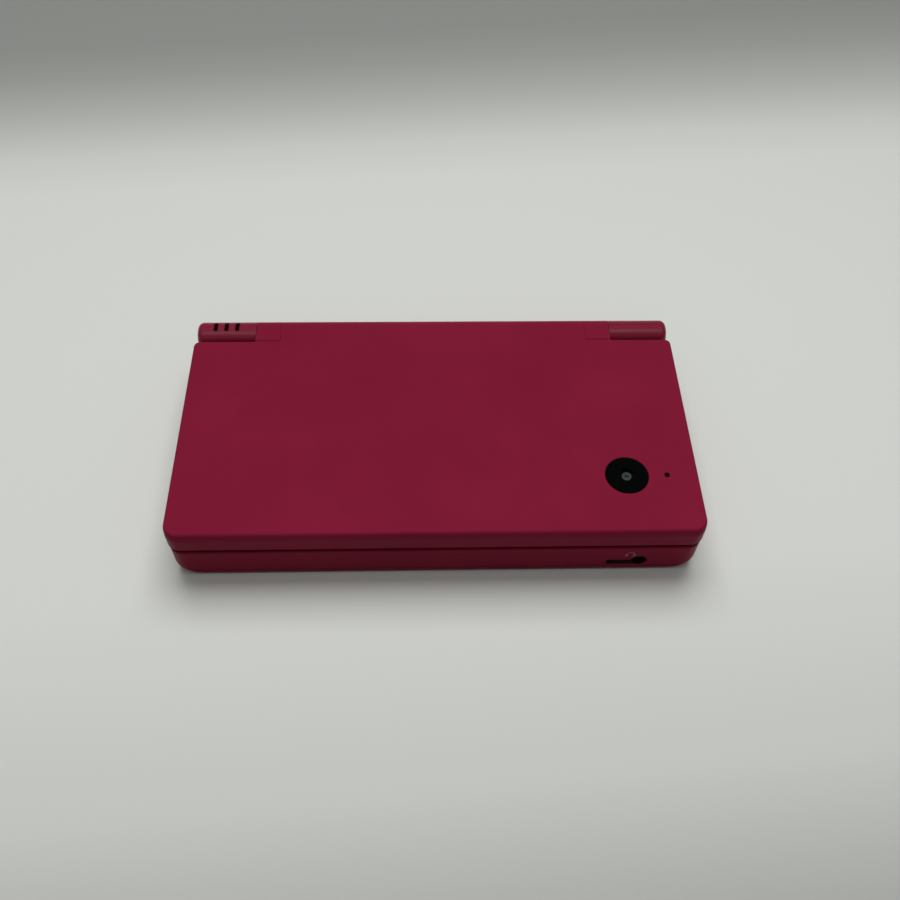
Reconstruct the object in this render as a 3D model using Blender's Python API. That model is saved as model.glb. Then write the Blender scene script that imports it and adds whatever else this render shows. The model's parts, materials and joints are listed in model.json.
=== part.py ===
"""A closed clamshell handheld game console, built as separate pieces in metres.

The origin is the middle of the underside. +X runs to the right, +Y to the hinge and +Z up.
"""

import math

import bmesh
import bpy
from mathutils import Matrix, Vector

# The touch screen and the casing round it
touch_width = 0.0704
touch_depth = 0.0544
side_margin = 0.0333
front_margin = 0.00475
rear_margin = 0.01575

# Closed heights
foot_stand = 0.0005
deck_height = 0.01125
lid_gap = 0.0009

# Clearances and cutting overrun
fit_gap = 0.0003
panel_gap = 0.0002
running_gap = 0.0001
overrun = 0.0005

# Hinge
barrel_radius = 0.0041
bore_radius = 0.0028
knuckle_length = 0.01705
knuckle_end_inset = 0.0001
knuckle_end_fillet = 0.0016
trough_gap = 0.0003
notch_clearance = 0.00145
cap_length = 0.0068
clutch_radius = 0.0025
clutch_length = 0.0125
clutch_shaft_radius = 0.0013
clutch_shaft_reach = 0.0065
bush_radius = 0.0018
bush_bore_radius = 0.0011
bush_seat_depth = 0.0036
bush_length = 0.0090

# Lid
lid_corner_radius = 0.0036
lid_rear_corner_radius = 0.0016
lid_top_fillet = 0.0012
lid_edge_fillet = 0.0008
lid_wall = 0.0013
lid_roof = 0.0012
bezel_recess = 0.0006
bezel_thickness = 0.0012
tongue_root = 0.0022

# Displays
upper_window_side_margin = 0.0018
upper_window_end_margin = 0.0008
upper_window_thickness = 0.0010
window_recess = 0.0001
upper_panel_margin = 0.0010
upper_panel_thickness = 0.0024
panel_headroom = 0.00105
touch_thickness = 0.0009
touch_recess = 0.00025
lower_panel_side_margin = 0.00105
lower_panel_end_margin = 0.0004
lower_panel_thickness = 0.0018

# Pieces in the lid
speaker_from_touch = 0.0168
speaker_behind_middle = 0.0035
speaker_radius = 0.0072
speaker_thickness = 0.0028
speaker_magnet_share = 0.7
grille_slot_width = 0.0011
grille_slot_length = 0.0090
grille_slot_pitch = 0.0024
grille_slot_count = 3
camera_from_side = 0.0188
camera_from_front = 0.01755
camera_disc_radius = 0.0056
camera_disc_thickness = 0.0006
camera_module_width = 0.0076
camera_lens_radius = 0.00135
camera_light_spacing = 0.01056
camera_light_radius = 0.0007
camera_light_foot_radius = 0.0012
camera_light_foot_height = 0.0012
inner_camera_width = 0.0060
inner_camera_height = 0.0036
inner_lens_radius = 0.0013
microphone_x = 0.0085
microphone_radius = 0.0016
microphone_height = 0.0030
microphone_hole_radius = 0.0005
bumper_from_side = 0.0060
bumper_from_front = 0.00595
bumper_radius = 0.0016
bumper_seat_depth = 0.0008
cable_radius = 0.0006
cable_sides = 8
lid_cable_from_panel = 0.0025
lid_cable_reach = 0.0125
cable_slot_width = 0.0030
cable_bend_steps = 4

# Base housing
base_corner_radius = 0.0042
base_rear_corner_radius = 0.0020
smallest_corner_radius = 0.0003
base_curve_height = 0.0041
base_curve_depth = 0.0032
base_top_fillet = 0.0005
base_wall = 0.0013
deck_thickness = 0.0013
parting_height = 0.0026
floor_thickness = 0.0012
board_height = 0.0064
board_thickness = 0.0010
board_from_side = 0.0035
board_from_front = 0.00295
board_from_stylus = 0.0033

# Controls on the deck
key_proud = 0.00095
key_flange_height = 0.0010
key_flange_width = 0.0008
key_hole_gap = 0.0003
key_crown = 0.0003
pad_thickness = 0.00025
pad_margin = 0.0006
face_keys_from_touch = 0.0173
face_keys_behind_middle = 0.0115
face_key_spacing = 0.0082
face_key_radius = 0.0035
face_key_offsets = {
    "button_right": (1, 0),
    "button_lower": (0, -1),
    "button_upper": (0, 1),
    "button_left": (-1, 0),
}
small_keys_from_touch = 0.0088
select_key_spacing = 0.0070
select_key_from_front = 0.01395
small_key_radius = 0.0021
power_key_radius = 0.0023
dpad_span = 0.0190
dpad_arm_width = 0.0068
dpad_proud = 0.00075
dpad_hole_gap = 0.00045
dpad_flange_radius = 0.0108
dpad_flange_top_gap = 0.00075
dpad_flange_thickness = 0.0006
dpad_corner_radius = 0.0008
dome_radius = 0.0022
dome_height = 0.0004

# Status lights in the left knuckle
slit_from_side = 0.0086
slit_pitch = 0.00309
slit_count = 3
slit_width = 0.0012
slit_length = 0.0032
slit_behind_hinge = 0.00025
guide_wall = 0.0007
guide_height = 0.0062

# Battery and its cover
battery_width = 0.0480
battery_front_margin = 0.00395
battery_short_of_touch = 0.0204
battery_thickness = 0.0041
bay_wall = 0.0008
battery_ledge = 0.0040
battery_front_ledge = 0.0010
battery_cover_thickness = 0.0008
battery_cover_corner_radius = 0.0015
battery_screw_from_centre = 0.0125
cover_screw_inset = 0.0016

# Screws and posts
screw_head_radius = 0.0013
screw_head_height = 0.0009
screw_shank_radius = 0.0006
screw_sink = 0.0003
case_screw_from_side = 0.0070
case_screw_from_front = 0.00565
case_screw_behind_face_keys = 0.0145
case_post_radius = 0.0023
case_boss_radius = 0.0018
case_screw_length = 0.0070
battery_screw_length = 0.0030
battery_boss_radius = 0.0014
battery_boss_height = 0.0030

# Rubber feet
foot_from_side = 0.0125
foot_from_end = 0.01045
foot_radius = 0.0024
foot_height = 0.0010
foot_seat_depth = 0.0008

# Card slots
game_card_width = 0.0336
game_card_depth = 0.0290
game_slot_low = 0.0018
game_slot_high = 0.0055
game_rail_width = 0.0016
game_block_depth = 0.0040
memory_from_rear = 0.03445
memory_card_width = 0.0246
memory_card_depth = 0.0220
memory_slot_low = 0.0035
memory_slot_height = 0.0023
memory_connector_low = 0.0029
memory_connector_height = 0.0032
memory_rail_width = 0.0010
memory_cover_length = 0.0265
memory_cover_low = 0.0031
memory_cover_height = 0.0038
memory_cover_thickness = 0.0012

# Stylus
stylus_from_rear = 0.01095
stylus_height = 0.00775
stylus_radius = 0.0020
stylus_length = 0.0920
stylus_tip_radius = 0.0006
stylus_tip_length = 0.0050
stylus_rib_thickness = 0.0012
stylus_rib_shares = (0.11, 0.42, 0.90)
stylus_rib_margin = 0.0008

# Volume rocker
rocker_from_front = 0.03545
rocker_length = 0.0140
rocker_height = 0.0026
rocker_centre_z = 0.0072
rocker_thickness = 0.0022
rocker_sink = 0.0001
rocker_side_gap = 0.0004

# Shoulder buttons
shoulder_width = 0.0130
shoulder_depth = 0.00525
shoulder_room = 0.0011
shoulder_low = 0.0046
shoulder_high = 0.0094
shoulder_pin_inset_x = 0.0017
shoulder_pin_inset_y = 0.0021
shoulder_pin_radius = 0.0006
shoulder_post_radius = 0.0014
spring_coil_radius = 0.0012
spring_wire_radius = 0.0002
spring_sides = 5
spring_turns = 3
spring_pitch = 0.0006
spring_points_per_turn = 10
spring_room_height = 0.0026
spring_room_radius = 0.0018

# Sockets
audio_hole_from_side = 0.0157
audio_hole_z = 0.0049
audio_opening_radius = 0.0021
audio_slot_reach = 0.0086
audio_slot_low = 0.0029
audio_slot_high = 0.0052
jack_body_margin = 0.0006
jack_body_width = 0.0128
jack_body_depth = 0.0110
jack_body_low = 0.0027
jack_body_high = 0.0075
jack_bore_radius = 0.0018
charger_from_side = 0.0310
charger_width = 0.0080
charger_depth = 0.0062
charger_low = 0.0027
charger_high = 0.0060
charger_shell = 0.0006
charger_tongue_height = 0.0008

# Smoothness of round shapes
corner_steps = 5
fillet_steps = 3
barrel_steps = 20
small_round_steps = 16
key_round_steps = 24
disc_steps = 32
smooth_angle = math.radians(35)

# Heights and places that follow from the sizes above
half_width = touch_width / 2 + side_margin
half_depth = (front_margin + touch_depth + rear_margin) / 2
display_centre_y = -half_depth + front_margin + touch_depth / 2
upper_window_width = touch_width + 2 * upper_window_side_margin
upper_window_depth = touch_depth + 2 * upper_window_end_margin
upper_panel_width = upper_window_width - 2 * upper_panel_margin
upper_panel_depth = upper_window_depth - 2 * upper_panel_margin
lower_panel_width = touch_width + 2 * lower_panel_side_margin
lower_panel_depth = touch_depth + 2 * lower_panel_end_margin
lid_edge_z = deck_height + lid_gap
bezel_low = lid_edge_z + bezel_recess
bezel_high = bezel_low + bezel_thickness
lid_fill_low = bezel_high + fit_gap
roof_low = lid_fill_low + upper_panel_thickness + panel_headroom
lid_fill_high = roof_low - fit_gap
console_height = roof_low + lid_roof
hinge_y = half_depth - barrel_radius
hinge_z = console_height - barrel_radius
lid_notch_y = hinge_y - barrel_radius - notch_clearance
knuckle_end_x = half_width - knuckle_end_inset
knuckle_inner_x = knuckle_end_x - knuckle_length
cap_outer_x = knuckle_inner_x - fit_gap
cap_inner_x = cap_outer_x - cap_length
tongue_half_width = cap_inner_x - panel_gap
deck_low = deck_height - deck_thickness
base_bottom = foot_stand
base_curve_top = base_bottom + base_curve_height
floor_top = base_bottom + floor_thickness
board_top = board_height + board_thickness
pad_low = board_top + running_gap
pad_top = pad_low + pad_thickness
key_flange_top = deck_low - fit_gap
key_flange_low = key_flange_top - key_flange_height
touch_top = deck_height - touch_recess
touch_low = touch_top - touch_thickness
battery_low = base_bottom + floor_thickness - running_gap
inner_wall_x = half_width - base_wall
speaker_x = touch_width / 2 + speaker_from_touch
speaker_y = display_centre_y + speaker_behind_middle
camera_x = half_width - camera_from_side
camera_y = -half_depth + camera_from_front
camera_light_x = camera_x + camera_light_spacing
bumper_x = half_width - bumper_from_side
bumper_y = -half_depth + bumper_from_front
lid_cable_turn_x = -upper_panel_width / 2 - lid_cable_from_panel
stylus_y = half_depth - stylus_from_rear
board_width = 2 * (half_width - board_from_side)
board_front_y = -half_depth + board_from_front
board_rear_y = stylus_y - board_from_stylus
face_keys_x = touch_width / 2 + face_keys_from_touch
face_keys_y = display_centre_y + face_keys_behind_middle
small_keys_x = touch_width / 2 + small_keys_from_touch
select_key_y = -half_depth + select_key_from_front
start_key_y = select_key_y + select_key_spacing
dpad_x = -face_keys_x
slit_middle_x = -half_width + slit_from_side
slit_front_y = hinge_y + slit_behind_hinge - slit_length / 2
slit_rear_y = slit_front_y + slit_length
battery_depth = touch_depth - battery_short_of_touch
battery_centre_y = -half_depth + battery_front_margin + battery_depth / 2
battery_screw_y = battery_centre_y + battery_screw_from_centre
case_screw_x = half_width - case_screw_from_side
case_screw_front_y = -half_depth + case_screw_from_front
case_screw_rear_y = face_keys_y + case_screw_behind_face_keys
foot_x = half_width - foot_from_side
foot_y = half_depth - foot_from_end
memory_y = half_depth - memory_from_rear
rocker_y = -half_depth + rocker_from_front
shoulder_inner_x = half_width - shoulder_width
shoulder_front_y = half_depth - shoulder_depth
shoulder_pin_x = shoulder_inner_x + shoulder_pin_inset_x
shoulder_pin_y = shoulder_front_y + shoulder_pin_inset_y
audio_hole_x = half_width - audio_hole_from_side
audio_slot_left_x = audio_hole_x - audio_slot_reach
jack_body_left_x = audio_slot_left_x - jack_body_margin
charger_x = half_width - charger_from_side
dpad_rock_z = deck_low - dpad_flange_top_gap - dpad_flange_thickness
bush_outer_end_x = -knuckle_inner_x - bush_seat_depth
bush_inner_end_x = bush_outer_end_x + bush_length
cable_meeting_x = bush_inner_end_x - bush_length / 4
base_cable_x = bush_outer_end_x + bush_bore_radius + fit_gap
slit_spread = (slit_count - 1) * slit_pitch / 2 + slit_width / 2 + guide_wall
guide_x0 = slit_middle_x - slit_spread
guide_x1 = slit_middle_x + slit_spread
guide_y0 = slit_front_y - guide_wall
guide_y1 = slit_rear_y + guide_wall
guide_low = deck_low + fit_gap
guide_top = guide_low + guide_height
case_screw_low = base_bottom + screw_sink
case_screw_top = case_screw_low + screw_head_height + case_screw_length
battery_screw_low = base_bottom + running_gap
battery_screw_x = battery_width / 2 + battery_ledge - cover_screw_inset


def rounded_outline(x0, x1, y0, y1, radii):
    """Points of a rectangle with four round corners, anticlockwise from the front left."""
    corners = (
        (x0, y0, 1, 1, math.pi),
        (x1, y0, -1, 1, 1.5 * math.pi),
        (x1, y1, -1, -1, 0.0),
        (x0, y1, 1, -1, 0.5 * math.pi),
    )
    points = []
    for (x, y, side_x, side_y, start), radius in zip(corners, radii):
        for step in range(corner_steps + 1):
            angle = start + 0.5 * math.pi * step / corner_steps
            points.append(
                (
                    x + side_x * radius + radius * math.cos(angle),
                    y + side_y * radius + radius * math.sin(angle),
                )
            )
    return points


def inset_outline(x0, x1, y0, y1, radii, inset):
    """The same rounded rectangle drawn in by an inset, its corners never quite sharp."""
    smaller = [max(radius - inset, smallest_corner_radius) for radius in radii]
    return rounded_outline(x0 + inset, x1 - inset, y0 + inset, y1 - inset, smaller)


def arc_points(centre, radius, start, end, steps):
    """Points along an arc in a plane, both ends included."""
    return [
        (
            centre[0] + radius * math.cos(start + (end - start) * step / steps),
            centre[1] + radius * math.sin(start + (end - start) * step / steps),
        )
        for step in range(steps + 1)
    ]


def on_axis(axis, a, b, along):
    """A point from two coordinates across an axis and one along it."""
    if axis == "X":
        return Vector((along, a, b))
    if axis == "Y":
        return Vector((a, along, b))
    return Vector((a, b, along))


def loft(name, rings):
    """One closed solid through rings of points, with a flat cap at each end."""
    bm = bmesh.new()
    loops = [[bm.verts.new(point) for point in ring] for ring in rings]
    count = len(loops[0])
    for lower, upper in zip(loops, loops[1:]):
        for index in range(count):
            after = (index + 1) % count
            bm.faces.new((lower[index], lower[after], upper[after], upper[index]))
    bm.faces.new(list(reversed(loops[0])))
    bm.faces.new(loops[-1])
    bmesh.ops.recalc_face_normals(bm, faces=bm.faces)
    mesh = bpy.data.meshes.new(name)
    bm.to_mesh(mesh)
    bm.free()
    if signed_volume(mesh) < 0:
        mesh.flip_normals()
    piece = bpy.data.objects.new(name, mesh)
    bpy.context.scene.collection.objects.link(piece)
    return piece


def signed_volume(mesh):
    """Six times the volume that the faces enclose, negative if they point inwards."""
    mesh.calc_loop_triangles()
    total = 0.0
    for triangle in mesh.loop_triangles:
        a, b, c = (mesh.vertices[index].co for index in triangle.vertices)
        total += a.dot(b.cross(c))
    return total


def prism(name, outline, axis, low, high):
    """A flat outline pushed along an axis."""
    return loft(
        name, [[on_axis(axis, a, b, along) for a, b in outline] for along in (low, high)]
    )


def box(name, x0, x1, y0, y1, z0, z1):
    """A plain block between two corners."""
    return prism(name, [(x0, y0), (x1, y0), (x1, y1), (x0, y1)], "Z", z0, z1)


def rounded_box(name, x0, x1, y0, y1, z0, z1, radius):
    """A block whose upright edges are round."""
    return prism(name, rounded_outline(x0, x1, y0, y1, [radius] * 4), "Z", z0, z1)


def turned(name, axis, centre, profile, steps):
    """A round solid from pairs of radius and place along the axis."""
    rings = []
    for radius, along in profile:
        ring = [
            on_axis(
                axis,
                centre[0] + radius * math.cos(2 * math.pi * step / steps),
                centre[1] + radius * math.sin(2 * math.pi * step / steps),
                along,
            )
            for step in range(steps)
        ]
        rings.append(ring)
    return loft(name, rings)


def cylinder(name, axis, centre, radius, low, high, steps=small_round_steps):
    """A plain round bar."""
    return turned(name, axis, centre, [(radius, low), (radius, high)], steps)


def tube_along(name, path, radius, sides):
    """A round bar swept along a path of points, its ends square to the path."""
    rings = []
    side = None
    for index, point in enumerate(path):
        before = path[max(index - 1, 0)]
        after = path[min(index + 1, len(path) - 1)]
        forward = (after - before).normalized()
        if side is None:
            side = forward.orthogonal().normalized()
        side = (side - forward * side.dot(forward)).normalized()
        across = forward.cross(side)
        rings.append(
            [
                point
                + side * (radius * math.cos(2 * math.pi * step / sides))
                + across * (radius * math.sin(2 * math.pi * step / sides))
                for step in range(sides)
            ]
        )
    return loft(name, rings)


def combine(piece, tools, operation):
    """Runs one exact Boolean after another on a piece and removes the tools."""
    for tool in tools:
        modifier = piece.modifiers.new(operation, "BOOLEAN")
        modifier.operation = operation
        modifier.solver = "EXACT"
        modifier.object = tool
        graph = bpy.context.evaluated_depsgraph_get()
        mesh = bpy.data.meshes.new_from_object(piece.evaluated_get(graph))
        mesh.name = piece.name
        piece.modifiers.clear()
        piece.data = mesh
        bpy.data.objects.remove(tool)
    return piece


def cut(piece, *tools):
    return combine(piece, tools, "DIFFERENCE")


def join(piece, *tools):
    return combine(piece, tools, "UNION")


def keep_inside(piece, tool):
    return combine(piece, [tool], "INTERSECT")


def plastic(name, colour, roughness, metallic=0.0, alpha=1.0):
    """A plain Principled material."""
    material = bpy.data.materials.new(name)
    material.use_nodes = True
    shader = material.node_tree.nodes["Principled BSDF"]
    shader.inputs["Base Color"].default_value = (*colour, 1.0)
    shader.inputs["Roughness"].default_value = roughness
    shader.inputs["Metallic"].default_value = metallic
    shader.inputs["Alpha"].default_value = alpha
    material.diffuse_color = (*colour, alpha)
    return material


pink = (0.19, 0.011, 0.031)
colours = {
    "casing": (pink, 0.5, 0.0, 1.0),
    "key": ((0.22, 0.016, 0.04), 0.4, 0.0, 1.0),
    "black_glass": ((0.01, 0.01, 0.012), 0.1, 0.0, 1.0),
    "screen": ((0.03, 0.035, 0.04), 0.15, 0.0, 1.0),
    "module": ((0.05, 0.05, 0.055), 0.5, 0.0, 1.0),
    "board": ((0.02, 0.12, 0.06), 0.5, 0.0, 1.0),
    "steel": ((0.6, 0.6, 0.62), 0.3, 1.0, 1.0),
    "battery": ((0.08, 0.08, 0.09), 0.5, 0.0, 1.0),
    "rubber": ((0.04, 0.04, 0.042), 0.8, 0.0, 1.0),
    "light_guide": ((0.10, 0.012, 0.016), 0.2, 0.0, 1.0),
    "cable": ((0.35, 0.2, 0.05), 0.5, 0.0, 1.0),
}


def dress(piece, finish):
    """Gives a piece its own material and smooth shading on its round sides."""
    colour, roughness, metallic, alpha = colours[finish]
    piece.data.materials.clear()
    piece.data.materials.append(
        plastic(piece.name + "_" + finish, colour, roughness, metallic, alpha)
    )
    piece.data.shade_smooth()
    piece.data.set_sharp_from_angle(angle=smooth_angle)
    return piece


def pivot_at(name, place, pieces):
    """An empty on a joint's axis that carries the pieces turning or sliding there."""
    empty = bpy.data.objects.new(name, None)
    empty.location = place
    bpy.context.scene.collection.objects.link(empty)
    for piece in pieces:
        piece.data.transform(Matrix.Translation(-Vector(place)))
        piece.parent = empty
    return empty


def clear_scene():
    for leftover in list(bpy.data.objects):
        bpy.data.objects.remove(leftover, do_unlink=True)


# The lid


def lid_outline(inset):
    radii = (
        lid_corner_radius,
        lid_corner_radius,
        lid_rear_corner_radius,
        lid_rear_corner_radius,
    )
    return inset_outline(
        -half_width, half_width, -half_depth, lid_notch_y, radii, inset
    )


def level(outline, z):
    return [Vector((x, y, z)) for x, y in outline]


def barrel_section(front_y):
    """The section of the lid where it wraps the hinge, from a straight front edge back."""
    under = -math.pi + math.asin((hinge_z - lid_edge_z) / barrel_radius)
    back = arc_points(
        (hinge_y, hinge_z), barrel_radius, 0.5 * math.pi, under, barrel_steps
    )
    return [(front_y, lid_edge_z), (front_y, console_height)] + back


def hinge_rod(name, radius, low, high, steps=key_round_steps):
    """A round bar on the hinge's axis."""
    return cylinder(name, "X", (hinge_y, hinge_z), radius, low, high, steps)


def make_lid_outer_shell():
    rings = []
    for step in range(fillet_steps + 1):
        angle = 0.5 * math.pi * step / fillet_steps
        inset = lid_edge_fillet * (1 - math.sin(angle))
        rings.append(
            level(lid_outline(inset), lid_edge_z + lid_edge_fillet * (1 - math.cos(angle)))
        )
    for step in range(fillet_steps + 1):
        angle = 0.5 * math.pi * step / fillet_steps
        inset = lid_top_fillet * (1 - math.cos(angle))
        rings.append(
            level(
                lid_outline(inset),
                console_height - lid_top_fillet * (1 - math.sin(angle)),
            )
        )
    shell = loft("lid_outer_shell", rings)
    tongue = prism(
        "tongue",
        barrel_section(lid_notch_y - tongue_root),
        "X",
        -tongue_half_width,
        tongue_half_width,
    )
    join(shell, tongue)
    cavity = prism("cavity", lid_outline(lid_wall), "Z", lid_edge_z - overrun, roof_low)
    bore = hinge_rod(
        "bore", bore_radius, -tongue_half_width - overrun, tongue_half_width + overrun
    )
    cable_slot = box(
        "cable_slot",
        lid_cable_turn_x - cable_slot_width / 2,
        lid_cable_turn_x + cable_slot_width / 2,
        lid_notch_y - tongue_root - overrun,
        hinge_y,
        hinge_z - cable_slot_width / 2,
        hinge_z + cable_slot_width / 2,
    )
    pocket_low = console_height - camera_disc_thickness - fit_gap
    disc_pocket = cylinder(
        "disc_pocket",
        "Z",
        (camera_x, camera_y),
        camera_disc_radius + panel_gap,
        pocket_low,
        console_height + overrun,
        disc_steps,
    )
    lens_hole = cylinder(
        "lens_hole",
        "Z",
        (camera_x, camera_y),
        camera_lens_radius + fit_gap,
        roof_low - overrun,
        console_height,
    )
    light_hole = cylinder(
        "light_hole",
        "Z",
        (camera_light_x, camera_y),
        camera_light_radius + panel_gap,
        roof_low - overrun,
        console_height + overrun,
    )
    inner_lens_hole = cylinder(
        "inner_lens_hole",
        "Z",
        (0, hinge_y),
        inner_lens_radius + panel_gap,
        hinge_z - barrel_radius - overrun,
        hinge_z,
    )
    microphone_hole = cylinder(
        "microphone_hole",
        "Z",
        (microphone_x, hinge_y),
        microphone_hole_radius,
        hinge_z - barrel_radius - overrun,
        hinge_z,
    )
    cut(shell, cavity, bore, cable_slot, disc_pocket, lens_hole, light_hole)
    cut(shell, inner_lens_hole, microphone_hole)
    return dress(shell, "casing")


def make_hinge_cap(name, side):
    low, high = sorted((side * cap_inner_x, side * cap_outer_x))
    cap = prism(name, barrel_section(lid_notch_y + panel_gap), "X", low, high)
    cut(cap, hinge_rod("cap_bore", bore_radius, low - overrun, high + overrun))
    return dress(cap, "casing")


def grille_slots(side):
    """Upright slots side by side in front of one speaker."""
    slots = []
    for index in range(grille_slot_count):
        x = side * speaker_x + (index - (grille_slot_count - 1) / 2) * grille_slot_pitch
        slots.append(
            rounded_box(
                "grille_slot",
                x - grille_slot_width / 2,
                x + grille_slot_width / 2,
                speaker_y - grille_slot_length / 2,
                speaker_y + grille_slot_length / 2,
                bezel_low - overrun,
                bezel_high + overrun,
                grille_slot_width / 2 - running_gap,
            )
        )
    return slots


def make_lid_inner_bezel():
    bezel = prism(
        "lid_inner_bezel", lid_outline(lid_wall + fit_gap), "Z", bezel_low, bezel_high
    )
    window = box(
        "window_opening",
        -upper_window_width / 2 - fit_gap,
        upper_window_width / 2 + fit_gap,
        display_centre_y - upper_window_depth / 2 - fit_gap,
        display_centre_y + upper_window_depth / 2 + fit_gap,
        bezel_low - overrun,
        bezel_high + overrun,
    )
    seats = [
        cylinder(
            "bumper_seat",
            "Z",
            (side * bumper_x, bumper_y),
            bumper_radius + panel_gap,
            bezel_low - overrun,
            bezel_low + bumper_seat_depth,
        )
        for side in (-1, 1)
    ]
    cut(bezel, window, *seats, *grille_slots(-1), *grille_slots(1))
    return dress(bezel, "casing")


def make_upper_display_window():
    low = bezel_low + window_recess
    window = rounded_box(
        "upper_display_window",
        -upper_window_width / 2,
        upper_window_width / 2,
        display_centre_y - upper_window_depth / 2,
        display_centre_y + upper_window_depth / 2,
        low,
        low + upper_window_thickness,
        smallest_corner_radius,
    )
    return dress(window, "black_glass")


def make_upper_display_panel():
    panel = box(
        "upper_display_panel",
        -upper_panel_width / 2,
        upper_panel_width / 2,
        display_centre_y - upper_panel_depth / 2,
        display_centre_y + upper_panel_depth / 2,
        lid_fill_low,
        lid_fill_low + upper_panel_thickness,
    )
    return dress(panel, "screen")


def make_speaker(name, side):
    speaker = turned(
        name,
        "Z",
        (side * speaker_x, speaker_y),
        [
            (speaker_radius, lid_fill_low),
            (speaker_radius, lid_fill_low + speaker_thickness / 2),
            (speaker_radius * speaker_magnet_share, lid_fill_low + speaker_thickness / 2),
            (speaker_radius * speaker_magnet_share, lid_fill_low + speaker_thickness),
        ],
        key_round_steps,
    )
    return dress(speaker, "module")


def make_outer_camera_cover():
    disc = turned(
        "outer_camera_cover",
        "Z",
        (camera_x, camera_y),
        [
            (camera_disc_radius, console_height - camera_disc_thickness),
            (camera_disc_radius, console_height - running_gap),
            (camera_disc_radius - running_gap, console_height),
        ],
        disc_steps,
    )
    hole = cylinder(
        "lens_hole",
        "Z",
        (camera_x, camera_y),
        camera_lens_radius + panel_gap,
        console_height - camera_disc_thickness - overrun,
        console_height + overrun,
    )
    cut(disc, hole)
    return dress(disc, "black_glass")


def make_outer_camera_module():
    module = box(
        "outer_camera_module",
        camera_x - camera_module_width / 2,
        camera_x + camera_module_width / 2,
        camera_y - camera_module_width / 2,
        camera_y + camera_module_width / 2,
        lid_fill_low,
        lid_fill_high,
    )
    lens = cylinder(
        "lens",
        "Z",
        (camera_x, camera_y),
        camera_lens_radius,
        lid_fill_high - overrun,
        console_height - running_gap,
    )
    join(module, lens)
    return dress(module, "module")


def make_camera_light():
    light = turned(
        "camera_light",
        "Z",
        (camera_light_x, camera_y),
        [
            (camera_light_foot_radius, lid_fill_high - camera_light_foot_height),
            (camera_light_foot_radius, lid_fill_high),
            (camera_light_radius, lid_fill_high),
            (camera_light_radius, console_height - running_gap),
        ],
        small_round_steps,
    )
    return dress(light, "black_glass")


def make_inner_camera():
    low = hinge_z - inner_camera_height / 2
    camera = box(
        "inner_camera",
        -inner_camera_width / 2,
        inner_camera_width / 2,
        hinge_y - inner_camera_height / 2,
        hinge_y + inner_camera_height / 2,
        low,
        low + inner_camera_height,
    )
    lens = cylinder(
        "inner_lens",
        "Z",
        (0, hinge_y),
        inner_lens_radius,
        hinge_z - barrel_radius + running_gap,
        low + overrun,
    )
    join(camera, lens)
    return dress(camera, "black_glass")


def make_microphone():
    capsule = cylinder(
        "microphone",
        "Z",
        (microphone_x, hinge_y),
        microphone_radius,
        hinge_z - microphone_height / 2 - running_gap,
        hinge_z + microphone_height / 2,
    )
    return dress(capsule, "module")


def make_lid_bumper(name, side):
    bumper = turned(
        name,
        "Z",
        (side * bumper_x, bumper_y),
        [
            (bumper_radius - fit_gap, deck_height + fit_gap),
            (bumper_radius, deck_height + 2 * fit_gap),
            (bumper_radius, bezel_low + bumper_seat_depth - fit_gap),
        ],
        small_round_steps,
    )
    return dress(bumper, "rubber")


def make_hinge_clutch():
    clutch = turned(
        "hinge_clutch",
        "X",
        (hinge_y, hinge_z),
        [
            (clutch_radius, cap_outer_x - clutch_length),
            (clutch_radius, cap_outer_x),
            (clutch_shaft_radius, cap_outer_x),
            (clutch_shaft_radius, knuckle_inner_x + clutch_shaft_reach),
        ],
        key_round_steps,
    )
    return dress(clutch, "steel")


def bent_path(start, corner, end, bend):
    """A straight run, a round bend at the corner and a second straight run."""
    into = (corner - start).normalized()
    out = (end - corner).normalized()
    first = corner - into * bend
    centre = first + out * bend
    points = [start]
    for step in range(cable_bend_steps + 1):
        angle = 0.5 * math.pi * step / cable_bend_steps
        points.append(
            centre - out * (bend * math.cos(angle)) + into * (bend * math.sin(angle))
        )
    points.append(end)
    return points


def make_lid_display_cable():
    start = Vector((cable_meeting_x + fit_gap / 2, hinge_y, hinge_z))
    corner = Vector((lid_cable_turn_x, hinge_y, hinge_z))
    end = Vector((lid_cable_turn_x, hinge_y - lid_cable_reach, hinge_z))
    path = bent_path(start, corner, end, 2 * cable_radius)
    cable = tube_along("lid_display_cable", path, cable_radius, cable_sides)
    return dress(cable, "cable")


# The base


def base_inset(z):
    """How far the underside's curve draws the outline in at a height."""
    if z >= base_curve_top:
        return 0.0
    drop = min((base_curve_top - z) / base_curve_height, 1.0)
    return base_curve_depth * (1 - math.sqrt(1 - drop * drop))


def base_outline(inset):
    radii = (
        base_corner_radius,
        base_corner_radius,
        base_rear_corner_radius,
        base_rear_corner_radius,
    )
    return inset_outline(
        -half_width, half_width, -half_depth, half_depth, radii, inset
    )


def curve_levels(low, high, steps):
    """Rings of the base's outline up the underside's curve."""
    heights = [low + (high - low) * step / steps for step in range(steps + 1)]
    return [level(base_outline(base_inset(z)), z) for z in heights]


def knuckle_ring(x, radius):
    """A knuckle's section: the barrel above, upright sides down into the deck."""
    over = arc_points((hinge_y, hinge_z), radius, 0, math.pi, barrel_steps)
    foot = deck_low + overrun
    outline = over + [(hinge_y - radius, foot), (hinge_y + radius, foot)]
    return [Vector((x, y, z)) for y, z in outline]


def make_knuckle(side):
    rings = [knuckle_ring(side * knuckle_inner_x, barrel_radius)]
    for step in range(fillet_steps + 1):
        angle = 0.5 * math.pi * step / fillet_steps
        x = knuckle_end_x - knuckle_end_fillet * (1 - math.sin(angle))
        radius = barrel_radius - knuckle_end_fillet * (1 - math.cos(angle))
        rings.append(knuckle_ring(side * x, radius))
    return loft("knuckle", rings)


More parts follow.
